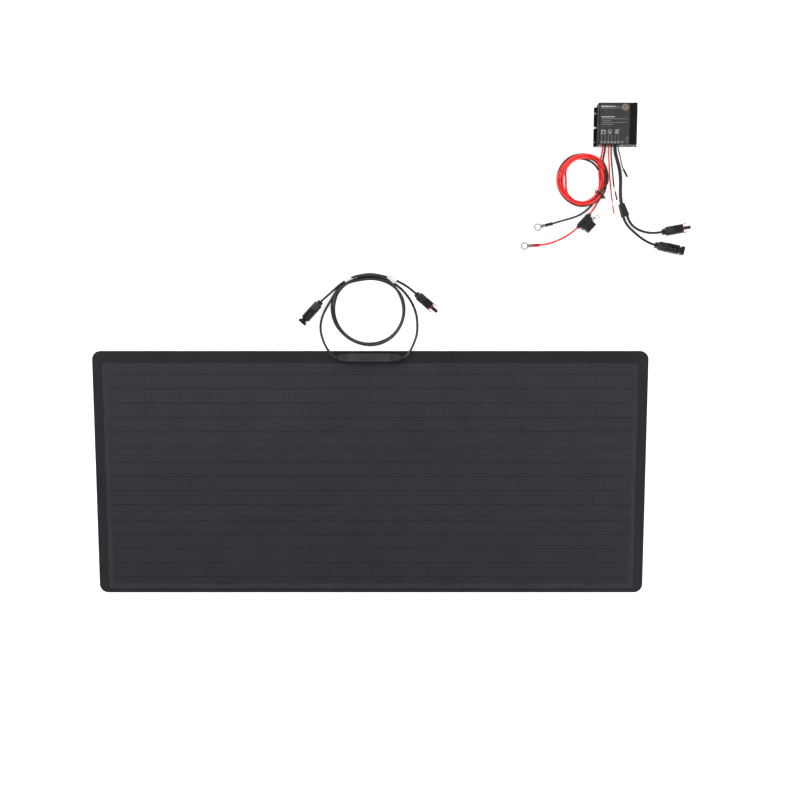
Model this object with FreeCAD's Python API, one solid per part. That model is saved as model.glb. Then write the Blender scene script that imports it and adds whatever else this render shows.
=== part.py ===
import FreeCAD, Part
import math
import os

# Flexible solar panel kit, laid out flat: a laminate panel with its junction box and two
# coiled leads, and a charge controller with its wiring, beyond the panel's long edge.
# Millimetres. The origin is the centre of the panel's underside, +Y points from the panel
# to the controller, and everything lies on the plane z = 0.

# Panel
PANEL_W = 1165.0
PANEL_D = 518.0
PANEL_CORNER = 18.0
BOARD_T = 1.6
CELL_T = 0.25
RIBBON_T = 0.15
PANEL_T = 2.8
CELL_COLUMNS = 14
CELL_ROWS = 3
CELL_PITCH_X = 79.0
CELL_PITCH_Y = 156.5
CELL_GAP = 0.9
CELL_HEIGHT = 153.6
CELL_CHAMFER = 3.0
CELLS_CENTRE_Y = -7.0
RIBBONS_PER_ROW = 5
RIBBON_PITCH = 30.45
RIBBON_W = 1.2

# Junction box, on the margin beside the panel's far long edge
JBOX_X = -1.0
JBOX_Y = 245.0
JBOX_W = 90.0
JBOX_D = 16.0
JBOX_WALL = 1.4
JBOX_BASE_TOP = 10.6
JBOX_TOP = 15.2
JBOX_GASKET_T = 0.5
END_CAP_L = 20.0
END_CAP_TIP_D = 10.5
LEAD_EXIT_Z = 9.0
LEAD_CORE_R = 1.2
LEAD_SEAT_X = 54.5

# Cables
LEAD_D = 5.0
BATTERY_D = 4.0
LOAD_D = 2.8
LOAD_CORE_D = 1.7
PV_CABLE_D = 7.0
SENSOR_D = 2.2

# Ring of the two panel leads, and the coil of the two battery leads
RING_CENTRE = (-3.1, 342.6)
RING_R = 72.0
RING_HALF_W = 7.5
RING_Z = (0.7, 10.5)
COIL_CENTRE = (435.6, 608.0)
COIL_R = 43.5
COIL_HALF_W = 10.0
COIL_Z = (0.8, 11.6)

# Connectors, along their own +X axis with the cable entering at x = 0
CONNECTOR_Z = 9.2
NUT_COLLAR_R = 6.4
NUT_R = 9.1
NUT_ROOT_R = 8.6
NUT_RIBS = 20
NUT_END_X = 22.6
NECK_R = 7.0
NECK_X = 9.0
SEAL_R = 4.5
HOUSING_X = 23.0
HOUSING_HALF_W = 9.0
HOUSING_HALF_H = 7.5
CABLE_END_X = 14.0
PLUG_END_X = 41.0
NOSE_R = 3.6
NOSE_END_X = 58.0
ARM_ROOT_X = 33.0
ARM_TIP_X = 50.0
ARM_Y = (7.6, 8.9)
ARM_HALF_H = 2.2
SOCKET_END_X = 60.0
SOCKET_BORE_R = 4.4
SOCKET_MOUTH_R = 5.4
SOCKET_MOUTH_L = 5.5
PLUG_PANEL = ((95.0, 377.6), -40.5)
SOCKET_PANEL = ((-101.5, 361.5), -132.4)
PLUG_PV = ((600.8, 503.1), 9.7)
SOCKET_PV = ((586.9, 476.9), -12.1)

# Charge controller
CTRL_X = 501.2
CTRL_FRONT_Y = 675.5
CTRL_W = 78.0
CTRL_L = 82.0
CTRL_H = 22.0
PLATE_T = 2.5
FLANGE_W = 5.0
FLANGE_T = 3.0
FLANGE_L = 78.0
FIN_H = 5.0
FIN_T = 1.6
FIN_PITCH = 6.8
FIN_COUNT = 11
WALL = 2.0
FLANGE_HOLE_X = 41.5
UPPER_HOLE = (66.0, 1.8)
NOTCH = (38.0, 2.1)
LOWER_HOLE = (9.0, 1.3)
SCREW_X = 34.0
SCREW_Z = (9.9, 17.3)
LABEL_X = (-36.9, 23.3)
LABEL_T = 0.4
CABLE_EXIT_Z = 13.0
LED_X = (6.5, 11.5, 17.1)
LED_Z = 14.0

# In-line fuse holder, along its own +X axis from boot to boot, with the cap towards +Y
FUSE_AT = (439.7, 525.65)
FUSE_ANGLE = -132.9
FUSE_Z = 6.8
FUSE_HALF_L = 14.0
FUSE_BACK_Y = -5.5
FUSE_SPLIT_Y = 12.0
FUSE_CAP_Y = 23.5
FUSE_HALF_T = 6.5
BOOT_R = 4.0
BOOT_L = 4.5

# Ring terminals
TERMINAL_R = 7.6
TERMINAL_HOLE_R = 5.25
TERMINAL_T = 1.2
SLEEVE_R = 3.5
SLEEVE_L = 16.4
BLACK_SLEEVE = ((376.6, 520.7), -167.6)
RED_SLEEVE = ((350.3, 477.0), -177.3)
TERMINAL_REACH = 31.0

# Y splitter and light sensor
SPLITTER_AT = (516.7, 560.5)
SPLITTER_ANGLE = -70.7
SPLITTER_L = 27.0
SPLITTER_HALF_W = (6.1, 8.3)
SPLITTER_H = 9.4
SPLIT_OFFSET = 4.2
PROBE_AT = (520.4, 630.4)
PROBE_ANGLE = -62.5
PROBE_L = 17.0
PROBE_R = 2.0

CLEARANCE = 0.3
SLIP = 0.05

Vec = FreeCAD.Vector
UP = Vec(0, 0, 1)
ALONG = Vec(1, 0, 0)


# ---------------------------------------------------------------- shapes


def box(x, y, z):
    """A box from three (low, high) pairs."""
    return Part.makeBox(x[1] - x[0], y[1] - y[0], z[1] - z[0], Vec(x[0], y[0], z[0]))


def rod_x(radius, x0, x1, y=0.0, z=0.0):
    """A cylinder along X."""
    return Part.makeCylinder(radius, x1 - x0, Vec(x0, y, z), ALONG)


def rod_y(radius, y0, y1, x, z):
    """A cylinder along Y."""
    return Part.makeCylinder(radius, y1 - y0, Vec(x, y0, z), Vec(0, 1, 0))


def rod_z(radius, z0, z1, x, y):
    """A cylinder along Z."""
    return Part.makeCylinder(radius, z1 - z0, Vec(x, y, z0), UP)


def sleeve_x(outer, inner, x0, x1):
    """A tube along X."""
    return rod_x(outer, x0, x1).cut(rod_x(inner, x0 - 1, x1 + 1))


def soft_box(x, y, z, radius, direction):
    """A box whose four edges along one direction are rounded."""
    block = box(x, y, z)
    chosen = [e for e in block.Edges if abs(e.tangentAt(e.FirstParameter).dot(direction)) > 0.99]
    return block.makeFillet(radius, chosen)


def prism(points, z0, z1):
    """A polygon in XY drawn up from z0 to z1."""
    corners = [Vec(x, y, z0) for x, y in points]
    return Part.Face(Part.makePolygon(corners + corners[:1])).extrude(Vec(0, 0, z1 - z0))


def prism_x(points, x0, x1):
    """A polygon in YZ drawn along X."""
    corners = [Vec(x0, y, z) for y, z in points]
    return Part.Face(Part.makePolygon(corners + corners[:1])).extrude(Vec(x1 - x0, 0, 0))


def round_plate(half_w, half_d, radius, z0, z1):
    """A plate with rounded corners, centred on the origin in XY."""
    return soft_box((-half_w, half_w), (-half_d, half_d), (z0, z1), radius, UP)


def placed(shape, at, angle, z=0.0):
    """The shape turned about Z and moved to a point."""
    moved = shape.copy()
    moved.rotate(Vec(0, 0, 0), UP, angle)
    moved.translate(Vec(at[0], at[1], z))
    return moved


def along(at, angle, x, y=0.0):
    """A point x along and y across an axis that starts at a point."""
    turn = math.radians(angle)
    return (
        at[0] + x * math.cos(turn) - y * math.sin(turn),
        at[1] + x * math.sin(turn) + y * math.cos(turn),
    )


def save(name, *solids):
    """Writes one node's STEP file."""
    shape = solids[0] if len(solids) == 1 else Part.makeCompound(list(solids))
    if not shape.isValid():
        print("INVALID", name)
    shape.exportStep(f"parts/{name}.step")


# ---------------------------------------------------------------- cords


def corner_arc(before, corner, after):
    """Where the arc at a corner starts and ends, its middle point and its radius."""
    back = (before - corner).normalize()
    ahead = (after - corner).normalize()
    half_turn = (math.pi - back.getAngle(ahead)) / 2
    reach = 0.45 * min(before.distanceToPoint(corner), after.distanceToPoint(corner))
    radius = reach / math.tan(half_turn)
    inward = (back + ahead).normalize()
    centre = corner + inward * (radius / math.cos(half_turn))
    return corner + back * reach, centre - inward * radius, corner + ahead * reach, radius


def cord_tube(name, points, diameter):
    """A tube along straight runs joined by tangent arcs, with its bends printed."""
    spots = [Vec(*p) for p in points]
    edges = []
    radii = []
    last = spots[0]
    for before, corner, after in zip(spots, spots[1:], spots[2:]):
        start, middle, end, radius = corner_arc(before, corner, after)
        edges.append(Part.LineSegment(last, start).toShape())
        edges.append(Part.Arc(start, middle, end).toShape())
        radii.append(radius)
        last = end
    edges.append(Part.LineSegment(last, spots[-1]).toShape())
    path = Part.Wire(edges)
    heading = spots[1] - spots[0]
    profile = Part.Wire(Part.makeCircle(diameter / 2, spots[0], heading))
    tube = path.makePipeShell([profile], True, False)
    expected = math.pi * diameter**2 / 4 * path.Length
    tightest = f"{min(radii):.1f}" if radii else "none"
    print(f"{name}: {path.Length:.0f} long, tightest {tightest}, volume {tube.Volume / expected:.3f}")
    return tube


def ring_solid(centre, radius, half_w, heights, corner):
    """The outer shape of a coil: a ring with a rounded section."""
    low, high = heights
    section = Part.makePolygon(
        [
            Vec(radius - half_w + corner, 0, low),
            Vec(radius + half_w - corner, 0, low),
            Vec(radius + half_w, 0, low + corner),
            Vec(radius + half_w, 0, high - corner),
            Vec(radius + half_w - corner, 0, high),
            Vec(radius - half_w + corner, 0, high),
            Vec(radius - half_w, 0, high - corner),
            Vec(radius - half_w, 0, low + corner),
            Vec(radius - half_w + corner, 0, low),
        ]
    )
    ring = Part.Face(section).revolve(Vec(0, 0, 0), UP, 360)
    ring.translate(Vec(centre[0], centre[1], 0))
    return ring


# Each route starts where the cord leaves its gland or plate, and is chosen by hand.
LEAD_A_IN = [
    (JBOX_X - LEAD_SEAT_X, JBOX_Y, LEAD_EXIT_Z),
    (-67.8, JBOX_Y, LEAD_EXIT_Z),
    (-78.0, 247.4, 9.6),
    (-85.6, 257.4, 9.0),
    (-94.2, 271.0, 6.2),
    (-101.4, 289.0, 3.0),
    (-104.4, 308.0, 2.5),
    (-100.4, 329.5, 2.5),
    (-91.4, 349.0, 2.6),
    (-80.2, 364.8, 3.2),
    (-69.4, 377.6, 4.4),
]
LEAD_A_OUT = [
    (13.0, 414.6, 5.6),
    (33.0, 412.6, 5.0),
    (52.8, 406.4, 3.6),
    (70.0, 397.0, 3.4),
    (82.6, 388.4, 6.4),
    (95.0, 377.6, CONNECTOR_Z),
    (*along(*PLUG_PANEL, CABLE_END_X), CONNECTOR_Z),
]
LEAD_B_IN = [
    (JBOX_X + LEAD_SEAT_X, JBOX_Y, LEAD_EXIT_Z),
    (65.8, JBOX_Y, LEAD_EXIT_Z),
    (76.2, 247.4, 9.6),
    (85.2, 257.8, 9.0),
    (92.0, 272.0, 6.2),
    (97.4, 291.5, 3.0),
    (98.6, 312.0, 2.5),
    (97.0, 332.6, 2.5),
    (90.2, 353.0, 2.5),
    (79.4, 371.4, 2.5),
    (65.4, 387.6, 2.6),
    (48.6, 400.2, 3.0),
    (33.0, 405.6, 3.6),
]
LEAD_B_OUT = [
    (-24.5, 414.0, 5.6),
    (-43.2, 409.6, 4.6),
    (-60.4, 399.9, 3.6),
    (-76.6, 387.0, 4.4),
    (-89.8, 374.4, 7.0),
    (-101.5, 361.5, CONNECTOR_Z),
    (*along(*SOCKET_PANEL, CABLE_END_X), CONNECTOR_Z),
]
BATTERY_RED_IN = [
    (474.2, 684.0, CABLE_EXIT_Z),
    (474.2, 670.5, 12.9),
    (473.4, 660.5, 9.9),
    (472.2, 651.5, 6.6),
    (473.2, 642.0, 4.6),
    (475.8, 633.0, 4.2),
]
BATTERY_BLACK_IN = [
    (478.9, 684.0, CABLE_EXIT_Z),
    (478.9, 670.5, 12.9),
    (478.1, 660.5, 9.9),
    (476.9, 651.5, 6.6),
    (477.9, 642.0, 4.6),
    (480.5, 633.0, 4.2),
]
BATTERY_BLACK_OUT = [
    (472.6, 584.5, 4.8),
    (467.0, 572.0, 4.4),
    (457.8, 559.4, 3.2),
    (446.0, 547.2, 2.2),
    (431.4, 537.8, 2.0),
    (414.2, 531.6, 2.0),
    (395.6, 526.6, 2.4),
    (376.6, 520.9, SLEEVE_R),
    (*along(*BLACK_SLEEVE, 8.0), SLEEVE_R),
]
BATTERY_RED_OUT = [
    (480.6, 585.5, 4.8),
    (475.2, 574.5, 4.4),
    (468.0, 563.2, 3.8),
    (460.8, 551.6, 4.8),
    (453.4, 540.6, FUSE_Z),
    (*along(FUSE_AT, FUSE_ANGLE, -9.0), FUSE_Z),
]
FUSE_TAIL = [
    (*along(FUSE_AT, FUSE_ANGLE, 9.0), FUSE_Z),
    (425.2, 510.1, FUSE_Z),
    (414.4, 501.0, 4.8),
    (401.6, 493.0, 2.4),
    (385.4, 485.6, 2.0),
    (368.2, 479.6, 2.4),
    (350.3, 477.2, SLEEVE_R),
    (*along(*RED_SLEEVE, 8.0), SLEEVE_R),
]
LOAD_RED = [
    (485.6, 684.0, CABLE_EXIT_Z),
    (485.7, 671.0, 12.9),
    (487.1, 659.5, 9.2),
    (489.1, 647.5, 4.8),
    (490.9, 633.0, 1.7),
    (492.3, 616.5, 1.4),
    (494.4, 599.5, 1.4),
    (496.4, 582.5, 1.4),
    (498.8, 565.8, 1.4),
]
LOAD_RED_END = [(498.8, 565.8, 1.4), (499.8, 558.0, 1.4), (503.2, 540.9, 1.4)]
LOAD_BLACK = [
    (490.8, 684.0, CABLE_EXIT_Z),
    (490.9, 671.0, 12.9),
    (492.1, 660.0, 9.2),
    (494.2, 648.5, 4.8),
    (496.7, 634.5, 1.7),
    (498.7, 620.5, 1.4),
    (500.0, 607.5, 1.4),
    (501.7, 595.2, 1.4),
]
LOAD_BLACK_END = [(501.7, 595.2, 1.4), (504.1, 585.9, 1.4), (508.5, 568.8, 1.4)]
PV_CABLE = [
    (498.2, 684.0, CABLE_EXIT_Z),
    (498.2, 671.5, 12.95),
    (500.4, 660.5, 11.0),
    (504.9, 648.5, 7.6),
    (509.8, 636.0, 4.6),
    (513.0, 622.5, 3.7),
    (514.6, 607.5, 3.5),
    (514.4, 591.5, 3.5),
    (514.9, 575.5, 3.9),
    (516.7, 560.5, SPLITTER_H / 2),
    (*along(SPLITTER_AT, SPLITTER_ANGLE, 8.0), SPLITTER_H / 2),
]
PV_LEAD_UPPER = [
    (*along(SPLITTER_AT, SPLITTER_ANGLE, 19.0, SPLIT_OFFSET), SPLITTER_H / 2),
    (*along(SPLITTER_AT, SPLITTER_ANGLE, SPLITTER_L, SPLIT_OFFSET), SPLITTER_H / 2),
    (533.6, 526.4, 3.9),
    (540.4, 517.6, 2.9),
    (550.0, 510.4, 2.5),
    (561.6, 505.2, 3.0),
    (574.4, 501.8, 5.4),
    (587.4, 501.1, 8.2),
    (600.8, 503.1, CONNECTOR_Z),
    (*along(*PLUG_PV, CABLE_END_X), CONNECTOR_Z),
]
PV_LEAD_LOWER = [
    (*along(SPLITTER_AT, SPLITTER_ANGLE, 19.0, -SPLIT_OFFSET), SPLITTER_H / 2),
    (*along(SPLITTER_AT, SPLITTER_ANGLE, SPLITTER_L, -SPLIT_OFFSET), SPLITTER_H / 2),
    (525.8, 523.6, 3.8),
    (534.0, 513.4, 2.8),
    (544.8, 503.8, 2.5),
    (555.6, 494.6, 3.2),
    (566.4, 486.4, 5.6),
    (576.4, 480.4, 8.2),
    (586.9, 476.9, CONNECTOR_Z),
    (*along(*SOCKET_PV, CABLE_END_X), CONNECTOR_Z),
]
SENSOR_CABLE = [
    (504.3, 684.0, CABLE_EXIT_Z),
    (504.4, 672.5, 12.9),
    (507.3, 664.0, 10.4),
    (511.0, 656.6, 7.6),
    (513.8, 647.8, 4.6),
    (516.4, 638.6, 2.7),
    (520.4, 630.4, PROBE_R),
    (*along(PROBE_AT, PROBE_ANGLE, 3.0), PROBE_R),
]


# ---------------------------------------------------------------- panel


def cell_outline(column, centre_x, centre_y):
    """A half cell: cropped at the two corners on the outer side of the full wafer."""
    half_w = (CELL_PITCH_X - CELL_GAP) / 2
    half_h = CELL_HEIGHT / 2
    outward = -1 if column % 2 == 0 else 1
    corners = [
        (-half_w * outward, -half_h),
        (half_w * outward - CELL_CHAMFER * outward, -half_h),
        (half_w * outward, -half_h + CELL_CHAMFER),
        (half_w * outward, half_h - CELL_CHAMFER),
        (half_w * outward - CELL_CHAMFER * outward, half_h),
        (-half_w * outward, half_h),
    ]
    return [(centre_x + x, centre_y + y) for x, y in corners]


def make_panel():
    """The laminate: stiff back board, cells, ribbons and the clear front film around them."""
    board = round_plate(PANEL_W / 2, PANEL_D / 2, PANEL_CORNER, 0, BOARD_T)
    cell_top = BOARD_T + CELL_T
    ribbon_top = cell_top + RIBBON_T
    cells = []
    ribbons = []
    for row in range(CELL_ROWS):
        centre_y = CELLS_CENTRE_Y + (row - (CELL_ROWS - 1) / 2) * CELL_PITCH_Y
        for column in range(CELL_COLUMNS):
            centre_x = (column - (CELL_COLUMNS - 1) / 2) * CELL_PITCH_X
            cells.append(prism(cell_outline(column, centre_x, centre_y), BOARD_T, cell_top))
        for line in range(RIBBONS_PER_ROW):
            y = centre_y + (line - (RIBBONS_PER_ROW - 1) / 2) * RIBBON_PITCH
            half_l = CELL_COLUMNS * CELL_PITCH_X / 2 - 1.0
            across = (y - RIBBON_W / 2, y + RIBBON_W / 2)
            ribbons.append(box((-half_l, half_l), across, (cell_top, ribbon_top)))
    film = round_plate(PANEL_W / 2, PANEL_D / 2, PANEL_CORNER, BOARD_T, PANEL_T)
    film = film.cut(Part.makeCompound(cells)).cut(Part.makeCompound(ribbons))
    save("back_board", board)
    save("solar_cells", *cells)
    save("cell_ribbons", *ribbons)
    save("front_film", film)


def make_junction_box():
    """A shallow tray with a lift-off lid, a gasket, two gland caps and the circuit inside."""
    half_w = JBOX_W / 2
    half_d = JBOX_D / 2
    tray = soft_box((-half_w, half_w), (-half_d, half_d), (PANEL_T, JBOX_BASE_TOP), 1.6, UP)
    inner_w = half_w - JBOX_WALL
    inner_d = half_d - JBOX_WALL
    tray = tray.cut(
        box((-inner_w, inner_w), (-inner_d, inner_d), (PANEL_T + JBOX_WALL, JBOX_TOP))
    )
    tray = tray.cut(rod_x(LEAD_CORE_R, -half_w - 1, half_w + 1, 0, LEAD_EXIT_Z))

    gasket_z = (JBOX_BASE_TOP, JBOX_BASE_TOP + JBOX_GASKET_T)
    gasket = soft_box((-half_w + 0.2, half_w - 0.2), (-half_d + 0.2, half_d - 0.2), gasket_z, 1.4, UP)
    gasket = gasket.cut(box((-inner_w, inner_w), (-inner_d, inner_d), gasket_z))

    seat = gasket_z[1] + SLIP
    lid = soft_box((-half_w, half_w), (-half_d, half_d), (seat, JBOX_TOP), 1.6, UP)
    top_edges = [e for e in lid.Edges if e.BoundBox.ZMin > JBOX_TOP - 0.01]
    lid = lid.makeFillet(1.0, top_edges)
    lid = lid.cut(box((-inner_w, inner_w), (-inner_d, inner_d), (seat - 1, JBOX_TOP - JBOX_WALL)))
    skirt = box(
        (-inner_w + CLEARANCE, inner_w - CLEARANCE),
        (-inner_d + CLEARANCE, inner_d - CLEARANCE),
        (JBOX_BASE_TOP - 1.2, JBOX_TOP - JBOX_WALL),
    )
    hollow = box(
        (-inner_w + 1.2, inner_w - 1.2),
        (-inner_d + 1.2, inner_d - 1.2),
        (JBOX_BASE_TOP - 2, JBOX_TOP - JBOX_WALL),
    )
    lid = lid.fuse(skirt.cut(hollow)).removeSplitter()

    caps = []
    for side in (-1, 1):
        root = half_w + SLIP
        outline = [
            (side * root, -half_d + 0.6),
            (side * (root + END_CAP_L - 4.0), -END_CAP_TIP_D / 2 - 0.9),
            (side * (root + END_CAP_L), -END_CAP_TIP_D / 2 + 1.2),
            (side * (root + END_CAP_L), END_CAP_TIP_D / 2 - 1.2),
            (side * (root + END_CAP_L - 4.0), END_CAP_TIP_D / 2 + 0.9),
            (side * root, half_d - 0.6),
        ]
        cap = prism(outline, PANEL_T, JBOX_TOP - 1.2)
        top_edges = [e for e in cap.Edges if e.BoundBox.ZMin > JBOX_TOP - 1.21]
        cap = cap.makeFillet(0.9, top_edges)
        low, high = sorted((side * LEAD_SEAT_X, side * (root + END_CAP_L + 1)))
        cap = cap.cut(rod_x(LEAD_D / 2 + SLIP, low, high, 0, LEAD_EXIT_Z))
        caps.append(cap.cut(rod_x(LEAD_CORE_R, -half_w - 30, half_w + 30, 0, LEAD_EXIT_Z)))

    circuit = []
    floor = PANEL_T + JBOX_WALL
    for side in (-1, 1):
        pad = (side * 26.0 - 12.0, side * 26.0 + 12.0)
        circuit.append(box(pad, (-5.5, 5.5), (floor, floor + 0.8)))
    for x in (-9.0, 0.0, 9.0):
        circuit.append(box((x - 3.2, x + 3.2), (-4.0, 4.0), (floor, floor + 2.6)))

    at = (JBOX_X, JBOX_Y)
    save("jbox_base", placed(tray, at, 0))
    save("jbox_gasket", placed(gasket, at, 0))
    save("jbox_lid", placed(lid, at, 0))
    save("jbox_end_caps", *[placed(cap, at, 0) for cap in caps])
    save("jbox_circuit", *[placed(piece, at, 0) for piece in circuit])


def wrap(centre, angle, radius, half_w, heights, length, wall):
    """A band of tape around a bundle, along the bundle's own direction."""
    low, high = heights
    outer = soft_box((-length / 2, length / 2), (-half_w, half_w), (low, high), 3.0, ALONG)
    inner = soft_box(
        (-length, length), (-half_w + wall, half_w - wall), (low + wall, high - wall), 2.6, ALONG
    )
    turn = math.radians(angle)
    at = (centre[0] + radius * math.cos(turn), centre[1] + radius * math.sin(turn))
    return placed(outer.cut(inner), at, angle + 90)


def make_panel_leads():
    """Two leads from the junction box, looped into one ring and taped together twice."""
    save(
        "panel_lead_a",
        cord_tube("lead a, box to ring", LEAD_A_IN, LEAD_D),
        cord_tube("lead a, ring to plug", LEAD_A_OUT, LEAD_D),
    )
    save(
        "panel_lead_b",
        cord_tube("lead b, box to ring", LEAD_B_IN, LEAD_D),
        cord_tube("lead b, ring to socket", LEAD_B_OUT, LEAD_D),
    )
    save("panel_lead_ring", ring_solid(RING_CENTRE, RING_R, RING_HALF_W, RING_Z, 3.0))
    wraps = [
        wrap(RING_CENTRE, 123.2, 75.6, 9.4, (0.0, 11.2), 11.0, 0.6),
        wrap(RING_CENTRE, 56.9, 74.9, 10.4, (0.0, 11.2), 11.0, 0.6),
    ]
    save("lead_wraps", *wraps)


# ---------------------------------------------------------------- connectors


def ribbed_outline(radius, root, ribs):
    """A round outline with shallow grip ribs."""
    points = []
    step = math.pi / ribs
    for i in range(2 * ribs):
        r = radius if i % 2 == 0 else root
        for offset in (-0.25, 0.25):
            a = (i + offset) * step
            points.append((r * math.cos(a), r * math.sin(a)))
    return points


def gland_nut():
    """The nut over the cable entry: a hexagonal collar, a cone and a ribbed barrel."""
    hexagon = [
        (NUT_COLLAR_R * math.cos(math.radians(a)), NUT_COLLAR_R * math.sin(math.radians(a)))
        for a in range(0, 360, 60)
    ]
    collar = prism_x(hexagon, 0, 5.2)
    cone = Part.makeCone(5.4, NUT_ROOT_R, 3.0, Vec(5, 0, 0), ALONG)
    barrel = prism_x(ribbed_outline(NUT_R, NUT_ROOT_R, NUT_RIBS), 8, NUT_END_X)
    nut = collar.fuse([cone, barrel])
    nut = nut.cut(rod_x(LEAD_D / 2 + 0.6, -1, NECK_X))
    return nut.cut(rod_x(NECK_R + 0.2, NECK_X - CLEARANCE, NUT_END_X + 1))


def housing_blank(end_x, bore_end_x):
    """The shared rear half: the threaded neck that the nut covers, and the body behind it."""
    neck = rod_x(NECK_R, NECK_X, HOUSING_X + 1)
    body = soft_box(
        (HOUSING_X, end_x),
        (-HOUSING_HALF_W, HOUSING_HALF_W),
        (-HOUSING_HALF_H, HOUSING_HALF_H),
        3.0,
        ALONG,
    )
    return neck.fuse(body).cut(rod_x(SEAL_R + 0.1, 5, bore_end_x))


def plug_housing():
    """The plug: a nose tube in front, and a recess on each side for a latch arm."""
    shape = housing_blank(PLUG_END_X, 28.0)
    shape = shape.fuse(rod_x(NOSE_R, PLUG_END_X - 1, NOSE_END_X))
    shape = shape.cut(rod_x(2.95, 27, NOSE_END_X + 1))
    for side in (-1, 1):
        low, high = sorted((side * 6.1, side * (HOUSING_HALF_W + 1)))
        recess_h = ARM_HALF_H + 0.4
        shape = shape.cut(
            box((ARM_ROOT_X - 0.3, PLUG_END_X + 1), (low, high), (-recess_h, recess_h))
        )
    return shape.removeSplitter()


def latch_arm(side):
    """A sprung arm with a hook at its tip."""
    inner, outer = ARM_Y
    outline = [
        (ARM_ROOT_X, side * inner),
        (ARM_TIP_X, side * inner),
        (ARM_TIP_X, side * (outer - 0.5)),
        (ARM_TIP_X - 3.4, side * (outer + 0.9)),
        (ARM_TIP_X - 4.0, side * outer),
        (ARM_ROOT_X, side * outer),
    ]
    return prism(outline, -ARM_HALF_H, ARM_HALF_H)


def socket_housing():
    """The socket: two windows in its top, a waist and a flange around the mouth."""
    shape = housing_blank(49.0, 28.0)
    waist = soft_box((48.5, 55.0), (-5.6, 5.6), (-6.4, 6.4), 2.0, ALONG)
    flange = soft_box((54.5, SOCKET_END_X), (-8.75, 8.75), (-7.2, 7.2), 2.6, ALONG)
    shape = shape.fuse([waist, flange])
    shape = shape.cut(rod_x(SOCKET_BORE_R, 27, SOCKET_END_X + 1))
    shape = shape.cut(rod_x(SOCKET_MOUTH_R, SOCKET_END_X - SOCKET_MOUTH_L, SOCKET_END_X + 1))
    for x in (30.5, 39.5):
        shape = shape.cut(soft_box((x, x + 6.5), (-3.4, 3.4), (2, HOUSING_HALF_H + 1), 1.0, UP))
    for side in (-1, 1):
        low, high = sorted((side * 7.2, side * 10.0))
        shape = shape.cut(box((56.0, 58.4), (low, high), (-3.0, 3.0)))
    return shape.removeSplitter()


def plug_contact():
    """Crimp barrel and a slotted tube that takes the other connector's pin."""
    barrel = rod_x(2.4, CABLE_END_X, 27)
    tube = sleeve_x(2.8, 1.7, 27, NOSE_END_X - 1)
    return barrel.fuse(tube)


def socket_contact():
    """Crimp barrel, a shoulder and the pin."""
    return rod_x(2.4, CABLE_END_X, 27).fuse([rod_x(2.8, 27, 47), rod_x(1.5, 47, 52)])


def cable_seal():
    """The rubber gland around the cable, inside the neck."""
    return sleeve_x(SEAL_R, LEAD_D / 2 + SLIP, NECK_X + CLEARANCE, CABLE_END_X)


def front_seal():
    """The red ring at the root of the plug's nose."""
    return sleeve_x(5.3, NOSE_R + SLIP, PLUG_END_X + SLIP, PLUG_END_X + 2.8)


def make_plug(name, at, angle):
    """One plug with its nut, seals, contact and two latch arms."""

    def put(shape):
        return placed(shape, at, angle, CONNECTOR_Z)

    save(f"{name}_housing", put(plug_housing()))
    save(f"{name}_nut", put(gland_nut()))
    save(f"{name}_contact", put(plug_contact()))
    save(f"{name}_seals", put(cable_seal()), put(front_seal()))
    save(f"{name}_latch_left", put(latch_arm(1)))
    save(f"{name}_latch_right", put(latch_arm(-1)))


def make_socket(name, at, angle):
    """One socket with its nut, seal and contact."""

    def put(shape):
        return placed(shape, at, angle, CONNECTOR_Z)

    save(f"{name}_housing", put(socket_housing()))
    save(f"{name}_nut", put(gland_nut()))
    save(f"{name}_contact", put(socket_contact()))
    save(f"{name}_seal", put(cable_seal()))


# ---------------------------------------------------------------- controller


def case_section():
    """The extruded case, seen from the front: fins below, ledges and screw channels inside."""
    half = CTRL_W / 2
    y0 = CTRL_FRONT_Y + PLATE_T
    y1 = CTRL_FRONT_Y + CTRL_L - PLATE_T
    span = (y0, y1)
    shape = soft_box((-half, half), span, (0, CTRL_H), 1.4, Vec(0, 1, 0))
    cavity = box((-half + WALL, half - WALL), (y0 - 1, y1 + 1), (FIN_H + WALL, CTRL_H - WALL))
    shape = shape.cut(cavity)
    first = -(FIN_COUNT - 1) / 2 * FIN_PITCH
    gap_half = (FIN_PITCH - FIN_T) / 2
    for i in range(FIN_COUNT - 1):
        middle = first + (i + 0.5) * FIN_PITCH
        groove = box((middle - gap_half, middle + gap_half), (y0 - 1, y1 + 1), (-1, FIN_H))
        shape = shape.cut(groove)
    for side in (-1, 1):
        low, high = sorted((side * (half - WALL - 1.6), side * (half - 0.5)))
        shape = shape.fuse(box((low, high), span, (11.6, 12.4)))
        for z in SCREW_Z:
            low, high = sorted((side * (SCREW_X - 1.9), side * (half - 0.5)))
            shape = shape.fuse(box((low, high), span, (z - 2.2, z + 2.2)))
    for side in (-1, 1):
        for z in SCREW_Z:
            shape = shape.cut(rod_y(1.2, y0 - 1, y1 + 1, side * SCREW_X, z))
    return shape


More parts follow.
